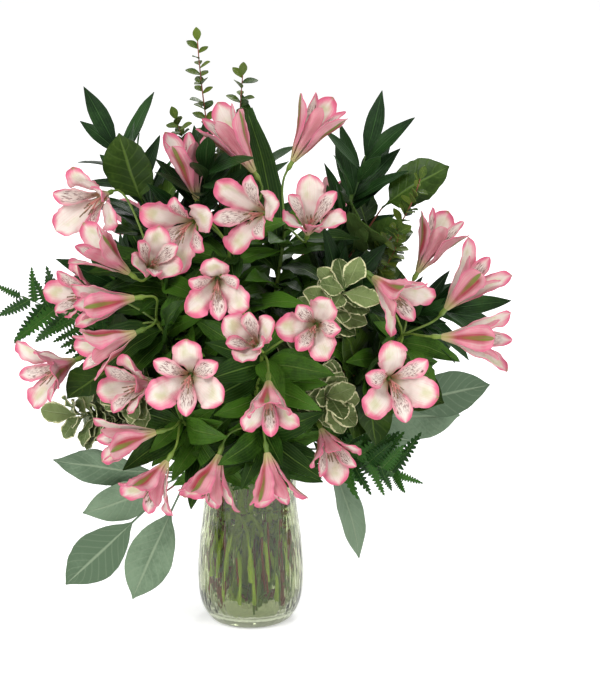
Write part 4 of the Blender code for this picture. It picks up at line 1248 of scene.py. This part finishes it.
class Crowd:
    """What a filling leaf keeps clear of: the solids, the vase's mouth and other filling leaves."""

    def __init__(self, meshes, low, high):
        self.low = low
        self.high = high
        points, faces = [], []
        for mesh in meshes:
            faces += [[len(points) + i for i in face.vertices] for face in mesh.polygons]
            points += [vert.co.copy() for vert in mesh.vertices]
        self.solids = BVHTree.FromPolygons(points, faces)
        self.cells = set()

    def cell(self, point):
        return tuple(int(c // CELL) for c in point)

    def allows(self, point):
        inside = all(low < at < high for low, at, high in zip(self.low, point, self.high))
        return inside and point.z > LOWEST_FILL and self.cell(point) not in self.cells

    def has_room(self, points, room):
        if not all(map(self.allows, points)):
            return False
        return all(self.solids.find_nearest(point, room)[0] is None for point in points)

    def add(self, points):
        for x, y, z in map(self.cell, points):
            self.cells.update((x + i, y + j, z + k) for i, j, k in product(STEPS_ROUND, repeat=3))


def fill_shoot(stem, shoot, crowd, seed):
    """Adds filling leaves where there is room for them."""
    form = LEAF_KINDS[stem.kind]
    for share, wish, size in filling_leaves(stem.kind, shoot.arch, seed):
        _, direction = along_arch(shoot.arch, share)
        for along, part in islice(leaf_poses(direction, wish), FILL_TRIES):
            pose = posed(stem, shoot, share, along, size * part)
            points = blade_points(stem.kind, pose, size)
            if crowd.has_room(points, form["room"] * MM):
                crowd.add(points)
                shoot.leaves.append((pose, size))
                break


def laid_leaf(template, kind, shoot, pose, size, number):
    form = LEAF_KINDS[kind]
    bend = math.radians(form["bend"])
    slip = shoot.slip(pose[0])
    leaf = copy_of(template, "leaf")

    def line(share):
        place, along, normal = leaf_line(*pose, bend, share)
        return place + slip * (1 - share) ** 2, along, normal

    half_width = form["half_width"] * MM * size
    lay(leaf, line, half_width, form["wave"], form["waves"], GOLDEN_ANGLE * number, form["crumple"])
    give_tone(leaf, GOLDEN_SHARE * number % 1)
    return leaf


def side_shoots(stem, skin):
    """Bare side shoots of a stem's lower end, which reach to the wall of the vase under water."""
    draw = random.Random("side shoots " + stem.name)
    foot, mouth = stem.shoots[0].lead[0], stem.shoots[0].smooth[0]
    shoots = []
    shares = [i / SHOOT_STEPS for i in range(SHOOT_STEPS + 1)]
    for root_height, (reach, height) in SIDE_SHOOTS.get(stem.kind, SIDE_SHOOTS["foliage"]):
        root = foot.lerp(mouth, (root_height * MM - foot.z) / (mouth.z - foot.z))
        tip = Vector((root.x, root.y, 0)).normalized() * reach * MM * draw.uniform(*SHOOT_REACHES)
        tip.rotate(Quaternion((0, 0, 1), math.radians(draw.uniform(-SHOOT_FAN, SHOOT_FAN))))
        tip.z = height * MM
        leaving = (tip - root) * Vector(SHOOT_PULL)
        arriving = Vector((0, 0, tip.z - root.z))
        points = [hermite(root, leaving, tip, arriving, share) for share in shares]
        radii = [stem.radius * SHOOT_SCALE * (1 - SHOOT_TAPER * share) for share in shares]
        shoots.append(tube("side_shoot", points, radii, skin))
    return shoots


def dressed_stem(stem, template, skin, slot):
    """A stem's tubes and leaves as one piece."""
    leaves = []
    for shoot in stem.shoots:
        for i, (pose, size) in enumerate(shoot.leaves):
            leaves.append(laid_leaf(template, stem.kind, shoot, pose, size, i))
    piece = joined(leaves, stem.name + "_leafy")
    apply_modifier(piece, "Thickness", "SOLIDIFY", thickness=LEAF_THICKNESS, offset=0, material_offset=1)
    tubes = [shoot.dressed(skin) for shoot in stem.shoots] + stem.pedicels + side_shoots(stem, skin)
    piece = joined([piece, *tubes], piece.name)
    smooth_piece(piece)
    finish_piece(piece, stem.name)


def finish_piece(piece, node):
    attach(piece, "root")
    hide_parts(node)


# Vase and water


def turned_piece(name, profile, material):
    """A ring of points that is extruded and resized from row to row, then closed at both ends."""
    deselect()
    radius, height = profile[0]
    bpy.ops.mesh.primitive_circle_add(
        vertices=VASE_SEGMENTS, radius=radius, location=(0, 0, height), fill_type="NOTHING")
    piece = bpy.context.object
    piece.name = name
    bpy.ops.object.transform_apply(location=True)
    bpy.ops.object.mode_set(mode="EDIT")
    bpy.ops.mesh.select_all(action="SELECT")
    bpy.ops.mesh.edge_face_add()
    bpy.ops.mesh.inset(thickness=radius * CLOSING_INSET)
    bpy.ops.mesh.select_all(action="DESELECT")
    select_points(piece, lambda co: math.hypot(co.x, co.y) > radius - 0.00001)
    bpy.ops.mesh.select_mode(type="EDGE")
    for (last, z), (out, up) in zip(profile, profile[1:]):
        bpy.ops.mesh.extrude_edges_move(TRANSFORM_OT_translate={"value": (0, 0, up - z)})
        bpy.ops.transform.resize(value=(out / last, out / last, 1), center_override=(0, 0, up))
    bpy.ops.mesh.edge_face_add()
    bpy.ops.mesh.inset(thickness=profile[-1][0] * CLOSING_INSET)
    bpy.ops.mesh.select_all(action="SELECT")
    bpy.ops.mesh.normals_make_consistent(inside=False)
    bpy.ops.object.mode_set(mode="OBJECT")
    piece.data.materials.append(material)
    bpy.ops.object.shade_smooth_by_angle(angle=VASE_SMOOTH_ANGLE)
    return piece


def curved_profile(profile):
    """A profile in metres, with more points on a smooth line through its own."""
    return smooth_points([vector(point) for point in profile], PROFILE_STEPS)


def dressed_vase():
    """One wall from the base up its outside, over a rounded lip and down its inside."""
    outside, inside = curved_profile(VASE_OUTSIDE), curved_profile(VASE_INSIDE)
    (outer, top), (inner, _) = outside[-1], inside[0]
    middle, half = (outer + inner) / 2, (outer - inner) / 2
    lip = []
    for degrees in range(0, 181, 30):
        turn = math.radians(degrees)
        lip.append((middle + half * math.cos(turn), top - RIM_ROUNDING + RIM_ROUNDING * math.sin(turn)))
    piece = turned_piece("vase_glass", outside[:-1] + lip + inside[1:], glass_material())
    finish_piece(piece, "vase")


def dressed_water():
    """The water reaches a hair's breadth into the glass, so that no air shows between them."""
    wall = [(r + WATER_OVERLAP, z) for r, z in reversed(curved_profile(VASE_INSIDE)) if z < WATER_LEVEL]
    (radius, _) = wall[-1]
    wall[0] = (wall[0][0], wall[0][1] - WATER_OVERLAP)
    profile = wall + [(radius - 0.4 * MM, WATER_LEVEL), (radius - 2.0 * MM, WATER_LEVEL - 0.7 * MM)]
    piece = turned_piece("water_body", profile, water_material())
    finish_piece(piece, "water")


# Studio


def add_floor():
    """A pale, level floor that runs far back."""
    deselect()
    bpy.ops.mesh.primitive_plane_add(size=FLOOR_SIZE)
    floor = bpy.context.object
    floor.name = "floor"
    floor.data.materials.append(floor_material())


def add_light(name, place, size, power):
    light = bpy.data.lights.new(name, "AREA")
    light.shape = "DISK"
    light.size = size
    light.energy = power
    lamp = bpy.data.objects.new(name, light)
    lamp.location = place
    lamp.rotation_euler = (Vector(LIT_PLACE) - Vector(place)).to_track_quat("-Z", "Y").to_euler()
    bpy.context.scene.collection.objects.link(lamp)


def add_studio():
    world = bpy.data.worlds.new("studio")
    bpy.context.scene.world = world
    world.use_nodes = True
    background = world.node_tree.nodes["Background"]
    background.inputs["Color"].default_value = (1, 1, 1, 1)
    background.inputs["Strength"].default_value = WORLD_STRENGTH
    for light in LIGHTS:
        add_light(*light)
    bpy.context.scene.view_settings.view_transform = "Standard"
    bpy.context.scene.view_settings.look = "None"


def add_camera():
    camera = bpy.data.cameras.new("camera")
    camera.sensor_width = SENSOR
    camera.lens = SENSOR * CAMERA_DISTANCE / METRES_PER_PIXEL / PICTURE_HEIGHT
    back = Vector((0, -math.cos(CAMERA_ELEVATION), math.sin(CAMERA_ELEVATION)))
    holder = bpy.data.objects.new("camera", camera)
    holder.location = Vector(CAMERA_TARGET) + back * CAMERA_DISTANCE
    holder.rotation_euler = (-back).to_track_quat("-Z", "Y").to_euler()
    bpy.context.scene.collection.objects.link(holder)
    bpy.context.scene.camera = holder


# The whole


def leaf_materials():
    """Upper and lower face of each kind of leaf."""
    materials = {}
    for kind, (name, veins, slope, (upper, under)) in LEAF_FACES.items():
        materials[kind] = [
            leaf_face(name, veins, slope, *upper),
            leaf_face(name + "_back", veins, slope, *under)]
    return materials


def stem_skins():
    """The skin of each kind of stem."""
    # The last colour of each skin is painted light, the paler colour of the stems down in the vase.
    green = stem_skin("alstroemeria_stem", 500, (0.09, 0.17, 0.02), (0.22, 0.33, 0.05), (0.62, 0.84, 0.09))
    brown = stem_skin("brown_twig", 700, (0.14, 0.035, 0.022), (0.28, 0.08, 0.045), (0.36, 0.07, 0.045))
    dark_green = stem_skin("green_twig", 700, (0.03, 0.09, 0.02), (0.10, 0.18, 0.05), (0.22, 0.34, 0.06))
    return {
        "alstroemeria": green, "ruscus": dark_green, "salal": brown, "huckleberry": brown,
        "pittosporum": dark_green, "fern": dark_green, "eucalyptus": brown}


def leaf_templates():
    """A flat leaf of each kind, to be copied."""
    faces = leaf_materials()
    templates = {}
    for kind, form in LEAF_KINDS.items():
        templates[kind] = flat_blade(
            kind + "_template", form["rows"], form["columns"], form["outline"], form["cup"], faces[kind],
            form.get("lobes", 0))
    return templates


def bloom_templates():
    """A flat outer tepal, a flat inner one and a straight stamen, to be copied."""
    outer = [tepal_inside("outer_tepal_inside", False), tepal_outside("outer_tepal_outside", 1.0)]
    inner = [tepal_inside("inner_tepal_inside", True), tepal_outside("inner_tepal_outside", 0.0)]
    return {
        "outer": flat_blade("outer_template", *OUTER_GRID, OUTER_OUTLINE, TEPAL_CUP, outer),
        "inner": flat_blade("inner_template", *INNER_GRID, INNER_OUTLINE, TEPAL_CUP, inner),
        "stamen": stamen_template(stamen_skin())}


def grow_leaves(stems):
    """Gives each stem the leaves of its solid, then fills its shoots where there is room."""
    leafy = [solid.data for node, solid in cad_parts.items() if node not in ("vase", "water")]
    crowd = Crowd(leafy, *box)
    for stem in stems:
        solid_leaves(stem, corners_of(stem.name))
        for i, shoot in enumerate(stem.shoots):
            fill_shoot(stem, shoot, crowd, f"{stem.name} {i}")


def add_pedicels(stem, skin):
    """The pedicels from an alstroemeria's head to its blooms."""
    head, direction = along_arch(stem.shoots[0].arch, 1)
    for _, base, facing, *_ in ALSTROEMERIA[stem.name]["blooms"]:
        towards = Vector(facing).normalized()
        stem.pedicels.append(pedicel(head, direction, vector(base), towards, skin))


def main():
    add_studio()
    add_camera()
    add_floor()
    dressed_vase()
    dressed_water()
    tepals = bloom_templates()
    for plan in ALSTROEMERIA.values():
        for bloom in plan["blooms"]:
            dressed_bloom(tepals, bloom)
    stems = stand_stems()
    grow_leaves(stems)
    skins = stem_skins()
    leaves = leaf_templates()
    for stem in stems:
        if stem.name in ALSTROEMERIA:
            add_pedicels(stem, skins[stem.kind])
        dressed_stem(stem, leaves[stem.kind], skins[stem.kind], stem.kind + "_green")
    for template in [*tepals.values(), *leaves.values()]:
        bpy.data.objects.remove(template)
    bpy.context.view_layer.update()


main()
